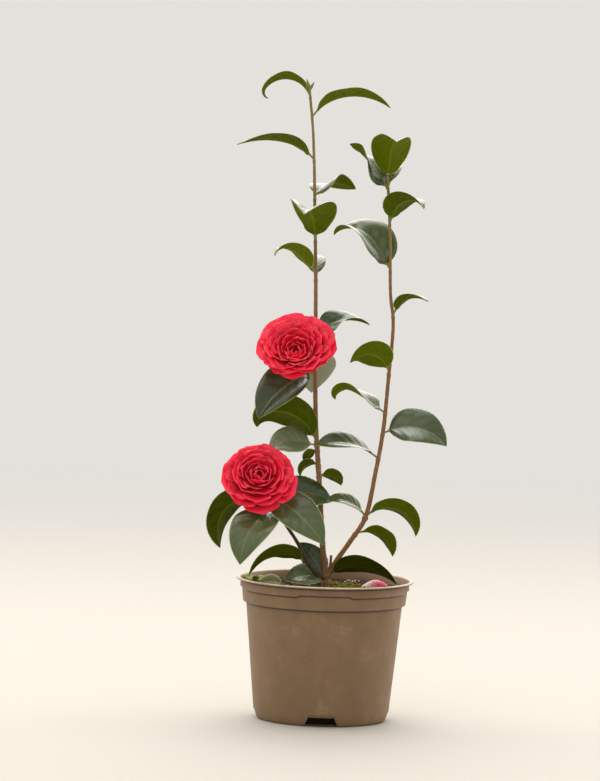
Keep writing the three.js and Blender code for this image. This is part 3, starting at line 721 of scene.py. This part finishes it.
# %% Petal finishes
def petal_finish(name, base, body, rim, even):
    """Petal colour from a partly shaded base to a painted glow at the rim, where |across|^7 or along^14 is
    large.
    """
    material, tree, place = new_finish(name, even)
    along = part(tree, place["UV"], "Y")
    beside = maths(tree, "POWER", from_midline(tree, place["UV"]), 7.0)
    beyond = maths(tree, "POWER", along, 14.0)
    # the pale rim is a painted glow of light through the thin edge
    rim_glow = ramp(tree, maths(tree, "MAXIMUM", beside, beyond), (0.1, 0), (1.0, 120))
    # uneven patches about 7 mm across
    patch = noise(tree, place["Object"], 7 * MM)
    # darker towards the base: partly the petal's deeper red, partly painted shade under the next row
    deep_base_and_shade = ramp(tree, maths(tree, "MULTIPLY_ADD", patch, 0.35, along), (0.8, base), (1.0, body))
    # veins run lengthwise, some twenty across a petal
    vein = noise(tree, stretch(tree, place["UV"], 22.0, 1.5, 1.0), 1.0)
    return finished(material, blend(tree, rim_glow, deep_base_and_shade, rim), vein, 0.25, 0.25)


petal_red = petal_finish("petal_velvet_red", "#cc0828", "#ff264a", "#ff607c",
                         {"Roughness": 0.5, "Specular IOR Level": 0.35, "Subsurface Weight": 0.25,
                          "Subsurface Scale": 0.003, "Sheen Weight": 0.1, "Sheen Roughness": 0.4})
sepal_green = leaf_finish("sepal_green", "#56682a", "#7e8c44", "#a0aa66", 0.3, {"Roughness": 0.55}, 0.3)
print("petal finish", petal_red.name)

# %% [markdown]
# ## The blooms
#
# A formal double bloom packs its petals by the golden angle, 137.5 degrees from one to the next,
# which is why no two rows line up. The outermost petals lie almost flat and turn back at the rim,
# and each one further in stands higher and cups more, until the last few furl round a hollow heart.
# So every petal is one rule, fed with its number. Its midline bends in the plane of radius and
# height by a quadratic Bezier curve, and its width wraps round an arc.

# %% Petal surface
GOLDEN_ANGLE = 137.508
PETAL_THICKNESS = 0.6
PETAL_ROWS = 15
PETAL_POINTS = 13
CREASE = 0.14


def petal_skin(centre, axes, size, angle, foot, bow, tip, half_width, cup, point, ruffle, seed):
    """One petal. foot, bow and tip are (radius, height) shares of the bloom's size. Half width goes
    as s^0.7 sqrt(1 - s^6). Across, it is an arc of radius cup * size with a crease along its
    midline. point draws the sides back from the tip: s becomes s (1 - point |across|^1.3 s^2)."""
    axis, across, up = axes
    s = ((np.arange(PETAL_ROWS) + 0.45) / (PETAL_ROWS + 0.2))[:, None]
    a, over = there_and_back(PETAL_POINTS)
    half = half_width * size * (s ** 0.7 * np.sqrt(1 - s ** 6)) / 0.86
    mid_s = s * (1 - point * np.abs(a) ** 1.3 * s ** 2)
    radial, height = (bezier(mid_s, foot[k], bow[k], tip[k]) for k in (0, 1))
    run, rise = (2 * (1 - mid_s) * (bow[k] - foot[k]) + 2 * mid_s * (tip[k] - bow[k]) for k in (0, 1))
    length = np.hypot(run, rise)
    face_r, face_h = -rise / length, run / length
    turn = a * half / (cup * size)
    lateral = cup * size * np.sin(turn)
    lift = cup * size * (1 - np.cos(turn)) + CREASE * half * (np.sqrt(a ** 2 + 0.04) - 0.2)
    waves = value_noise(a * 1.6 + 7, s * 2.2 + 0 * a, seed)
    lift = lift + ruffle * size * s ** 2 * (waves + 0.5 * np.sin(5 * a + seed) * np.abs(a) * s)
    thick = PETAL_THICKNESS / 2 * np.sqrt(1 - 0.75 * np.maximum(np.abs(a), s) ** 6)
    lift = lift + np.where(np.abs(a) == 1, 0, over * thick)
    r = radial * size + face_r * lift
    h = height * size + face_h * lift
    c, n = np.cos(np.radians(angle)), np.sin(np.radians(angle))
    out, round_way = c * across + n * up, c * up - n * across
    # a = 1 is the margin on the clockwise side, so the rings are reversed to face outward
    rings = centre + r[..., None] * out - lateral[..., None] * round_way + h[..., None] * axis
    start = centre + foot[0] * size * out + foot[1] * size * axis
    end = centre + tip[0] * size * out + tip[1] * size * axis
    return closed_skin(rings[:, ::-1], start, end, (a[:, ::-1] + 1) / 2, s[:, 0])

# %% Two blooms
BLOOMS = {
    "upper_bloom": dict(
        centre=(-38, -27, 399), radius=45.5, bearing=262, tilt=38, sink=0.5, skew=0.2, petals=66,
        width=0.43, ruffle=0.035, loose=0.045, sag=0.0, stem="main_stem", stalk_from=386),
    "lower_bloom": dict(
        centre=(-74, -36, 257.5), radius=43.5, bearing=272, tilt=32, sink=0.3, skew=-0.08, petals=44,
        width=0.56, ruffle=0.05, loose=0.07, sag=0.16, stem="flower_stem", stalk_from=240),
}
AGE = [0, 0.15, 0.32, 0.48, 0.62, 0.74, 0.87, 1]
TIP_RADIUS = [1.0, 0.93, 0.82, 0.69, 0.55, 0.41, 0.22, 0.04]
TIP_HEIGHT = [0, 0.08, 0.18, 0.28, 0.36, 0.41, 0.41, 0.38]
CALYX_BACK = 0.36
SEPALS = 7
SEPAL_STEP = 51.4
print("petals", [bloom["petals"] for bloom in BLOOMS.values()])

# %% Petals by the golden angle
def bloom_axes(bloom):
    """The way the bloom faces, the level way across it and the way up it."""
    axis = direction(bloom["bearing"], bloom["tilt"])
    across = direction(bloom["bearing"] + 90, 0)
    return axis, across, np.cross(axis, across)


def bloom_skins(bloom, seed):
    """All petals of a bloom, from the outermost (age 0) to the heart (age 1)."""
    axes = bloom_axes(bloom)
    centre = np.array(bloom["centre"], float)
    vary = np.random.default_rng(seed)
    skins = []
    for number in range(bloom["petals"]):
        age = (number / (bloom["petals"] - 1)) ** 0.85
        angle = (GOLDEN_ANGLE * number + vary.normal(0, 5)) % 360
        loose = bloom["loose"] * (1 - 0.7 * age)
        sunk = 1 - bloom["sink"] * age ** 1.5
        tip = np.array([np.interp(age, AGE, TIP_RADIUS) * (1 + vary.normal(0, loose)),
                        np.interp(age, AGE, TIP_HEIGHT) * sunk + vary.normal(0, 0.25 * loose)])
        hang = max(0.0, -np.sin(np.radians(angle))) * (1 - age) ** 2 * bloom["sag"]
        tip += [0.3 * hang, -hang]
        foot = np.array([0.1 - 0.07 * age, -0.29 + (TIP_HEIGHT[-1] * sunk - 0.04) * age])
        flat_bow = [foot[0] + 0.55 * (tip[0] - foot[0]), tip[1] + 0.05]
        cup_bow = [tip[0] + 0.15, 0.5 * (foot[1] + tip[1]) - 0.03]
        bow = np.array(flat_bow) * (1 - age ** 1.3) + np.array(cup_bow) * age ** 1.3
        half_width = bloom["width"] * (1 - 0.62 * age)
        cup = 1.5 - 1.22 * age ** 0.7
        heart = centre - axes[2] * bloom["skew"] * bloom["radius"] * age
        skins.append(petal_skin(heart, axes, bloom["radius"], angle, foot, bow, tip, half_width, cup,
                                0.05 + 0.1 * age, bloom["ruffle"], seed + number))
    return skins


for order, (name, bloom) in enumerate(BLOOMS.items()):
    build_piece(f"petals_{name}", bloom_skins(bloom, 300 + 100 * order), [petal_red], "petals", name,
                crease=80)

# %% Calyx and flower stalks
def calyx_skins(bloom, seed):
    """Overlapping sepals behind the petals, the boss they grow from, and the stalk."""
    axes = bloom_axes(bloom)
    axis = axes[0]
    size = bloom["radius"]
    centre = np.array(bloom["centre"], float)
    foot, bow = (0.03, -CALYX_BACK), (0.2, -CALYX_BACK + 0.02)
    tips = [(0.25 - 0.01 * number, -0.2 - 0.01 * number) for number in range(SEPALS)]
    sepals = [petal_skin(centre, axes, size, SEPAL_STEP * number + 20, foot, bow, tip, 0.13, 0.24, 0.1,
                         0.0, seed + number) for number, tip in enumerate(tips)]
    boss_line = centre + axis * np.linspace(-CALYX_BACK, 0.0, 12)[:, None] * size
    boss_radius = size * 0.11 * np.sin(np.pi * np.linspace(0.12, 0.93, 12))[:, None] ** 0.6
    boss = limb_skin(boss_line, boss_radius, 24)
    begin = at_height(lines[bloom["stem"]], bloom["stalk_from"])
    end = centre - axis * size * (CALYX_BACK + 0.03) + 4 * axis
    bend = 0.45 * begin + 0.55 * end - 2 * axis
    t = np.linspace(0, 1, 24)[:, None]
    stalk = limb_skin(bezier(t, begin, bend, end), 1.7 + 1.2 * t ** 2, 20)
    return [*sepals, boss, stalk]


build_piece("flower_calyces", [skin for order, bloom in enumerate(BLOOMS.values())
                               for skin in calyx_skins(bloom, 600 + 20 * order)],
            [sepal_green], "foliage", *BLOOMS)

# %% [markdown]
# ## The pot
#
# The nursery pot is injection-moulded polypropylene, thin-walled and slightly translucent, with a
# rolled lip, a collar whose lower edge steps up over four panels, a wide band, and four drain
# notches in its foot. A turned profile gives all but the notches, and those are cut by a Boolean
# modifier, which is applied so that only plain mesh is left.

# %% Pot finish
def pot_plastic():
    """Moulded polypropylene: satin, with a very fine grain, scuffs and specks from the nursery."""
    material, tree, coordinates = new_finish("pot_moulded_polypropylene", {
        "IOR": 1.49, "Specular IOR Level": 0.4, "Subsurface Weight": 0.06, "Subsurface Scale": 0.002})
    place = coordinates["Object"]
    # handling marks about 20 mm across, a little taller than wide
    cloudy = noise(tree, stretch(tree, place, 1.0, 1.0, 0.7), 22 * MM, 5.0, 0.6)
    body = ramp(tree, cloudy, (0.3, "#7a6146"), (0.7, "#85694c"))
    # the lip is paler, partly rubbed wear and partly a painted highlight, more in some places than in
    # others
    scuff = noise(tree, place, 3.4 * MM, 6.0, 0.75)
    lip_low, lip_high = (POT_HEIGHT - 1.7) * MM, (POT_HEIGHT - 0.4) * MM
    lip_wear_and_highlight = rescale(tree, part(tree, place, "Z"), lip_low, lip_high, 0.0, 1.3)
    colour = blend(tree, maths(tree, "MULTIPLY", lip_wear_and_highlight, scuff, clamp=True), body, "#d9c7ae")
    # scuffs gather in the paler marks
    gathered = maths(tree, "MULTIPLY", maths(tree, "MULTIPLY_ADD", cloudy, 0.9, scuff), 0.5)
    colour = blend(tree, ramp(tree, gathered, (0.53, 0), (0.65, 150)), colour, "#b9a58c")
    # dark specks of peat, one to every 16 mm or so
    speck = node(tree, "ShaderNodeTexVoronoi", {"Vector": place, "Scale": 1 / (16 * MM)})
    peaty = ramp(tree, speck.outputs["Distance"], (0.035, 200), (0.06, 0))
    colour = blend(tree, peaty, colour, "#3a2c20")
    # painted shade: a dark line under each ledge and under the lip, where v is 1
    ledge_shade = maths(tree, "MULTIPLY", part(tree, coordinates["UV"], "Y"), 0.9)
    colour = blend(tree, ledge_shade, colour, "#33241a")
    rough = rescale(tree, scuff, 0.0, 1.0, 0.42, 0.62)
    tree.links.new(rough, tree.nodes["Principled BSDF"].inputs["Roughness"])
    # moulding grain 0.7 mm across
    return finished(material, colour, noise(tree, place, 0.7 * MM), 0.12, 0.2)


pot_finish = pot_plastic()
print("pot finish", pot_finish.name)

# %% Pot profile
BASE_RADIUS = 71.6
BAND_RADIUS = 83.5
WALL = 2.0
LIP_HEIGHT = 2.5
COLLAR_DEPTH = 12.0
BAND_DEPTH = 26.0
PANEL_RISE = 2.0
PANEL_HALF_ANGLE = 18.0
PANEL_SLOPE = 1.0


def wall_radius(z):
    """The outside of the plain wall: a straight taper from the base to the wide band."""
    return BASE_RADIUS + (BAND_RADIUS - BASE_RADIUS) * z / (POT_HEIGHT - BAND_DEPTH)


band_z = POT_HEIGHT - BAND_DEPTH
collar_z = POT_HEIGHT - COLLAR_DEPTH
lip_z = POT_HEIGHT - LIP_HEIGHT
plain_wall = [(wall_radius(z), z, 0) for z in np.linspace(9.5, band_z - 3.2, 24)]
inside_wall = [(wall_radius(z) - WALL, z, 0) for z in np.linspace(band_z - 2, WALL + 0.2, 20)]


def rows(radius, height, *steps):
    """Profile rows as steps out and up from a radius and a height, each with its share of painted shade."""
    return [(radius + out, height + up, painted_shade) for out, up, painted_shade in steps]


# each row's third number is its share of painted shade, the dark line under a ledge or the lip
outer = [
    *rows(BASE_RADIUS, 0, (-12, 0, 0), (-4.6, 0, 0), (-3.4, 0.3, 0), (-2.3, 1, 0), (-1, 2.8, 0),
          (-0.1, 5.6, 0)),
    *plain_wall,
    *rows(BAND_RADIUS, band_z, (-0.2, -2, 0.3), (-0.1, -0.9, 0.9), (0, -0.3, 1)),
    *rows(0, band_z, (84, 0.1, 1), (86.4, 0, 0.8), (87.1, 0.5, 0), (87, 1.3, 0)), (88.1, collar_z - 3, 0)]
collar = rows(0, collar_z, (88.1, -2.2, 0), (88.1, -1.2, 0.6), (88, -0.5, 1), (88.2, -0.1, 1),
              (90.1, 0, 0.8), (90.6, 0.4, 0), (90.2, 1.4, 0))
lip = [
    *rows(0, lip_z, (90.2, -2.2, 0), (90, -1.1, 0.6), (89.8, -0.4, 1), (90.4, -0.1, 1)),
    *rows(LIP_RADIUS, lip_z, (-1.6, 0, 0.7), (-0.6, 0.4, 0), (0, LIP_HEIGHT / 2, 0)),
    *rows(LIP_RADIUS, POT_HEIGHT, (-0.3, -0.7, 0), (-1.2, -0.15, 0), (-2.2, 0, 0)),
    *rows(0, POT_HEIGHT, (91.8, -0.15, 0), (90.6, -0.7, 0), (89.4, -2.2, 0)),
    (87.4, collar_z + 2, 0), (84.8, band_z + 1.4, 0), (82.6, band_z - 0.6, 0)]
profile = [*outer, *collar, *lip, *inside_wall]
is_collar = np.array([entry in collar for entry in profile], float)[:, None]
print("rows in the pot's profile", len(profile))

# %% Turn the pot
def turned_skin(profile, lift, sides):
    """Turn a profile of (radius, height, painted shade) about the upright axis, each row raised by lift."""
    angle = np.arange(sides) * 360 / sides
    r, z, painted_shade = np.array(profile, float).T
    upright = np.array([0.0, 0.0, 1.0])
    rings = r[:, None, None] * direction(angle, 0) + (z[:, None] + lift(angle))[..., None] * upright
    return closed_skin(rings, z[0] * upright, z[-1] * upright, along=painted_shade)


def panel_lift(angle):
    """The collar's lower edge sits higher over four panels, with a short slope at each side."""
    from_panel = np.abs((angle - 270 + 45) % 90 - 45)
    return is_collar * PANEL_RISE * np.clip(
        (PANEL_HALF_ANGLE + PANEL_SLOPE / 2 - from_panel) / PANEL_SLOPE, 0, 1)


NOTCH = dict(bottom=36.5, top=27.5, height=10.0, depth=8.0)
pot = build_piece("pot_shell", [turned_skin(profile, panel_lift, 240)], [pot_finish], "pot_plastic", "pot",
                  crease=28)

# %% Drain notches
def notch_block(turn):
    """A wedge that is wider below, set across the pot's foot and turned about the upright axis."""
    deep, proud = -(BASE_RADIUS - NOTCH["depth"]), -(BASE_RADIUS + 4)
    low, high = NOTCH["bottom"] / 2, NOTCH["top"] / 2
    corners = [(-low, -1.0), (low, -1.0), (high, NOTCH["height"]), (-high, NOTCH["height"])]
    rings = np.array([[(x, y, z) for x, z in corners] for y in (deep, proud)])
    rings = about_upright(rings, np.radians(turn))
    return closed_skin(rings, rings[0].mean(axis=0), rings[1].mean(axis=0))


def cut_notches(piece):
    """Subtract the four wedges with a Boolean modifier and keep the result as plain mesh."""
    block = build_piece("notch_block", [notch_block(turn) for turn in (0, 90, 180, 270)], [pot_finish],
                        "pot_plastic")
    cut = piece.modifiers.new("drain notches", "BOOLEAN")
    cut.operation = "DIFFERENCE"
    cut.object = block
    cut.solver = "EXACT"
    bpy.context.view_layer.update()
    result = bpy.data.meshes.new_from_object(piece.evaluated_get(bpy.context.evaluated_depsgraph_get()))
    piece.modifiers.clear()
    piece.data = result
    bpy.data.objects.remove(block)
    return len(result.polygons)


print("pot faces after cutting", cut_notches(pot))

# %% [markdown]
# ## Compost and what lies on it
#
# Nursery compost is a crumbly mix of peat, bark and a little white grit, and on a pot that has
# stood for a year moss creeps over it. The bed is one turned solid whose top is pushed up and down
# by noise. The crumbs, bark chips, grit and moss are separate small skins scattered on it, because
# at this distance it is their shadows that make compost look loose.

# %% Compost finishes
def earthy_finish(name, dark, bright, grain, roughness=0.95):
    """A dull crumbly stuff: two colours mixed by noise whose crumbs are grain millimetres across."""
    material, tree, place = new_finish(name, {"Roughness": roughness, "Specular IOR Level": 0.2})
    crumbs = noise(tree, place["Object"], grain * MM, 5.0, 0.7)
    return finished(material, ramp(tree, crumbs, (0.35, dark), (0.68, bright)), crumbs, 0.8, 0.6)


peat = earthy_finish("compost_peaty", "#1d140d", "#4b3a29", 1.8)
# near black: painted shade for the compost deep in the foot, seen through the drain notches
peat_in_shade = earthy_finish("compost_shaded_in_the_notches", "#070504", "#140e0a", 1.8)
chip_brown = earthy_finish("composted_bark_chip", "#2e2117", "#6b5138", 1.2)
grit_white = earthy_finish("horticultural_grit", "#a8a294", "#dcd8cc", 1.0, 0.7)
moss_green = earthy_finish("cushion_moss", "#6e681c", "#b9b04a", 0.9)
print("compost finishes ready")

# %% Compost bed
def bed_height(x, y):
    """The compost's surface: three sizes of noise over its level."""
    return (COMPOST_TOP - 0.8 + 1.1 * value_noise(x / 22 + 20, y / 22 + 20, 1)
            + 0.8 * value_noise(x / 7 + 20, y / 7 + 20, 2)
            + 0.5 * value_noise(x / 2.4 + 40, y / 2.4 + 40, 3))


SHADED_BELOW = 40.0
BED_SIDES = 200
bed_angle = np.radians(np.arange(BED_SIDES) * 360 / BED_SIDES)
wall_rows = [(wall_radius(z) - WALL - 0.6, z) for z in (3.0, 40.0, 80.0, band_z - 2)]
top_rows = [(86.4, COMPOST_TOP - 2.2), *[(r, None) for r in np.linspace(85.6, 1.5, 64)]]
bed_rings = []
for r, z in [(wall_radius(3) - WALL - 3, 2.8), *wall_rows, (84.2, band_z + 2), *top_rows]:
    x, y = r * np.cos(bed_angle), r * np.sin(bed_angle)
    bed_rings.append(np.column_stack([x, y, bed_height(x, y) if z is None else np.full(BED_SIDES, z)]))
bed_rings = np.array(bed_rings)
bed = closed_skin(bed_rings, np.array([0, 0, 2.8]), bed_rings[-1].mean(axis=0))
face_height = bed["points"][bed["faces"], 2].mean(axis=1)
# faces lower than this height get the painted shade
bed["finish"] = (face_height < SHADED_BELOW).astype(int)
build_piece("compost_bed", [bed], [peat, peat_in_shade], "compost", "compost", crease=180)

# %% Crumbs, chips and grit
def lump_skin(at, size, longer, seed):
    """A rough lump: three jittered six-sided rings, longer than wide, turned at random."""
    vary = np.random.default_rng(seed)
    a = np.linspace(0, 2 * np.pi, 6, endpoint=False)
    r = np.array([0.55, 0.9, 0.5])[:, None] * vary.uniform(0.7, 1.25, (3, 6))
    z = np.array([-0.5, 0.0, 0.5])[:, None] + vary.uniform(-0.15, 0.15, (3, 6))
    shape = np.stack([r * np.cos(a) * longer, r * np.sin(a), z], axis=-1) * size / 2
    yaw, pitch = vary.uniform(0, 2 * np.pi), vary.normal(0, 0.35)
    tilt = np.array([[np.cos(pitch), 0, np.sin(pitch)], [0, 1, 0], [-np.sin(pitch), 0, np.cos(pitch)]])
    shape = about_upright(shape @ tilt.T, yaw) + at
    return closed_skin(shape, shape[0].mean(axis=0), shape[2].mean(axis=0))


def scatter(count, sizes, longer, seed, reach=84.5):
    """Lumps spread evenly over the bed: radius is reach times the square root of a random share."""
    vary = np.random.default_rng(seed)
    r, a = reach * np.sqrt(vary.uniform(0, 1, count)), vary.uniform(0, 2 * np.pi, count)
    x, y = r * np.cos(a), r * np.sin(a)
    size = vary.uniform(*sizes, count)
    z = bed_height(x, y) + 0.15 * size
    return [lump_skin(np.array([x[i], y[i], z[i]]), size[i], longer, seed + i) for i in range(count)]


build_piece("compost_crumbs", scatter(900, (1.0, 3.2), 1.2, 5000), [peat], "compost", "compost")
build_piece("bark_chips", scatter(320, (2.4, 5.5), 2.0, 7000), [chip_brown], "compost", "compost")
GRIT_ON_MOSS = [(26, 48, 3.0), (30, 40, 2.6), (33, 50, 2.2), (37, 44, 2.4), (22, 38, 2.0)]
grit = scatter(140, (1.0, 2.6), 1.1, 9000)
for order, (x, y, size) in enumerate(GRIT_ON_MOSS):
    on_moss = np.array([x, y, bed_height(x, y) + 4.0])
    grit.append(lump_skin(on_moss, size, 1.6, 9500 + order))
build_piece("white_grit", grit, [grit_white], "compost", "compost")

# %% Moss
def moss_skins(cushions, seed):
    """Tiny upright tufts packed over low cushions (x, y, radius), leaning outwards at the edge."""
    vary = np.random.default_rng(seed)
    skins = []
    for cx, cy, radius in cushions:
        for _ in range(int(radius ** 2 * 1.1)):
            r, a = radius * np.sqrt(vary.uniform()), vary.uniform(0, 2 * np.pi)
            x, y = cx + r * np.cos(a), cy + r * np.sin(a)
            foot = np.array([x, y, bed_height(x, y) - 0.5])
            dome = 2.6 * (1 - (r / radius) ** 2) + 1.6
            lean = direction(np.degrees(a) + vary.normal(0, 30), 90 - 45 * r / radius + vary.normal(0, 12))
            line = foot + lean * dome * np.linspace(0, 1, 4)[:, None]
            swell = np.array([0.35, 0.75, 0.6, 0.2])[:, None] * vary.uniform(0.7, 1.2)
            skins.append(limb_skin(line, swell, 5))
    return skins


MOSS = [(14, -8, 9), (27, -2, 10), (40, -10, 8), (20, 14, 10), (33, 20, 8), (14, 34, 9), (28, 42, 10),
        (-66, -4, 8), (-58, 14, 9), (-72, 22, 7), (-30, 40, 9), (22, -38, 10), (-30, -36, 9), (0, 66, 10)]
build_piece("moss_cushions", moss_skins(MOSS, 77), [moss_green], "compost", "compost")

# %% [markdown]
# ## What has fallen
#
# One petal has dropped on the compost and faded to pink and cream, still red at its end. A dead leaf
# lies beside the foot, and a yellow-green seedling has come up at the pot's edge. All are skins like
# those of the plant itself.

# %% Fallen petal
def faded_petal_finish():
    """A wilting petal: cream where it has faded, with red left along one end and in streaks."""
    material, tree, place = new_finish("petal_faded", {"Roughness": 0.6, "Subsurface Weight": 0.1,
                                                       "Subsurface Scale": 0.002})
    streaks = noise(tree, stretch(tree, place["UV"], 3.0, 12.0, 1.0), 1.0, 3.0)
    share = maths(tree, "MULTIPLY_ADD", streaks, 0.6, part(tree, place["UV"], "Y"))
    body = ramp(tree, share, (0.4, "#efd3cb"), (0.75, "#ea8f9c"), (1.0, "#d82a58"))
    return finished(material, body, streaks, 0.4, 0.3)


PETAL = dict(at=(55, 14, COMPOST_TOP + 0.3), length=31.0, width=19.0, height=7.5, turn=-6.0)


def fallen_petal_skin():
    """A cupped petal on its rim: half width sin^0.6, arch sin of its share, less 0.92 across^2."""
    s = ((np.arange(24) + 0.5) / 24)[:, None]
    a, over = there_and_back(FACE_POINTS)
    half = PETAL["width"] / 2 * np.sin(np.pi * np.minimum(1, s * 0.98)) ** 0.6
    ruffle = 0.3 * np.sin(9 * s - 4 * a) * np.abs(a)
    arch = PETAL["height"] * np.sin(np.pi * s) * (1 - 0.92 * a ** 2) + ruffle
    thick = np.where(np.abs(a) == 1, 0, 0.4 * over * np.sqrt(1 - 0.7 * a ** 6))
    flat = np.stack([(s - 0.5) * PETAL["length"] + 0 * a, half * a, arch + thick], axis=-1)
    ends = np.array([[-0.5, 0, 0], [0.5, 0, 0]]) * PETAL["length"]
    turn = np.radians(PETAL["turn"])
    rings, ends = (about_upright(points, turn) + PETAL["at"] for points in (flat, ends))
    return closed_skin(rings, *ends, (1 - a) / 2, s[:, 0])


build_piece("dropped_petal", [fallen_petal_skin()], [faded_petal_finish()], "faded_petal", "fallen_petal",
            crease=80)

# %% Fallen leaf and seedling
def leaves_from(name, foot, leaves, finish, tone, seed):
    """Leaves that spring from one foot (x, y) on the compost, in a finish of their own."""
    skins = [leaf_skin(np.array([*foot, leaf.z]), leaf, tone, seed + order)
             for order, leaf in enumerate(leaves)]
    build_piece(name, skins, [finish, finish, leaf_edge, leaf_stalk], "foliage", "compost", crease=70)


FALLEN_LEAF = [Leaf(COMPOST_TOP + 1, 192, 27, 34, 74, 14, -46, 0.34, stalk=3)]
SEEDLING = [Leaf(COMPOST_TOP, 205, 13, 62, 78, 12, -40, 0.4, stalk=4),
            Leaf(COMPOST_TOP, 20, 10, 58, 60, 12, 30, 0.4, stalk=4),
            Leaf(COMPOST_TOP, 265, 9, 70, 50, 12, 10, 0.4, stalk=3)]
yellowed = leaf_finish(
    "leaf_fallen_yellowed", "#6d7440", "#a3a06c", "#b9b489", 0.3, {"Roughness": 0.6}, 0.3)
young_green = leaf_finish(
    "leaf_seedling_young", "#7d8428", "#a9ab42", "#bcbc62", 0.3, {"Roughness": 0.5}, 0.2)
leaves_from("fallen_leaf", (-44, 2), FALLEN_LEAF, yellowed, 0.6, 901)
leaves_from("seedling", (-74, 24), SEEDLING, young_green, 0.5, 940)

# %% [markdown]
# ## Floor and light
#
# A pale floor and big soft lights stand in for the bright tunnel the plant grew in. The plant is lit
# from both sides and a little from behind, which draws a light line down each side of the pot and
# lets leaves glow. The front light is the weakest, so the pot's middle stays deeper in tone. The
# sky itself is brightest behind the plant and above it, and that patch is what the leaves reflect.

# %% Floor
SKY_COLOUR = "#efece7"
SKY_STRENGTH = 0.9
BRIGHT_SKY_STRENGTH = 5.0
BRIGHT_SKY_WAY = (0.0, 0.77, 0.64)
FLOOR_REACH = 14.0
FADE_START, FADE_END = 0.5, 3.5
floor_material, tree, place = new_finish("pale_floor", {"Roughness": 0.9, "Base Color": linear("#b9b4ac")})
reach = node(tree, "ShaderNodeVectorMath", {0: place["Object"]}, operation="LENGTH").outputs["Value"]
far = rescale(tree, reach, FADE_START, FADE_END, way="SMOOTHSTEP")
haze = node(tree, "ShaderNodeEmission", {"Color": SKY_COLOUR, "Strength": SKY_STRENGTH})
lit = tree.nodes["Principled BSDF"].outputs[0]
faded = node(tree, "ShaderNodeMixShader", {0: far, 1: lit, 2: haze.outputs[0]})
tree.links.new(faded.outputs[0], tree.nodes["Material Output"].inputs["Surface"])
floor_mesh = bpy.data.meshes.new("floor")
corners = [(x * FLOOR_REACH, y * FLOOR_REACH, 0) for x, y in ((-1, -1), (1, -1), (1, 1), (-1, 1))]
floor_mesh.from_pydata(corners, [], [(0, 1, 2, 3)])
floor_mesh.materials.append(floor_material)
floor = add_object("floor", floor_mesh)
print("floor", 2 * FLOOR_REACH, "m across")

# %% Lights
LIGHT_AIM = np.array([0.0, 0.0, 0.3])


def soft_light(name, place, size, power, colour):
    """A square area light at place that looks at the plant. It shines along its own -Z."""
    data = bpy.data.lights.new(name, "AREA")
    data.size = size
    data.energy = power
    data.color = linear(colour)[:3]
    away = unit(np.array(place) - LIGHT_AIM)
    right = unit(np.cross([0.0, 0.0, 1.0], away))
    add_object(name, data, (right, np.cross(away, right), away), place)


soft_light("left_back", (-1.9, 1.1, 1.3), 1.6, 20, "#fff6ea")
soft_light("right_back", (2.0, 1.2, 1.2), 1.6, 24, "#fffaf4")
soft_light("overhead", (-0.2, 0.2, 2.3), 1.8, 20, "#ffffff")
soft_light("front_fill", (-0.7, -2.2, 2.2), 1.4, 9, "#fffaf4")

world = bpy.data.worlds.new("studio")
world.use_nodes = True
tree = world.node_tree
sky = tree.nodes["Background"].inputs
sky["Color"].default_value = linear(SKY_COLOUR)
gaze = node(tree, "ShaderNodeTexCoord").outputs["Generated"]
towards = node(tree, "ShaderNodeVectorMath", {0: gaze, 1: BRIGHT_SKY_WAY}, operation="DOT_PRODUCT")
glow = rescale(tree, towards.outputs["Value"], 0.8, 0.98, SKY_STRENGTH, BRIGHT_SKY_STRENGTH, "SMOOTHSTEP")
tree.links.new(glow, sky["Strength"])
bpy.context.scene.world = world
print("lights", len(bpy.data.lights))
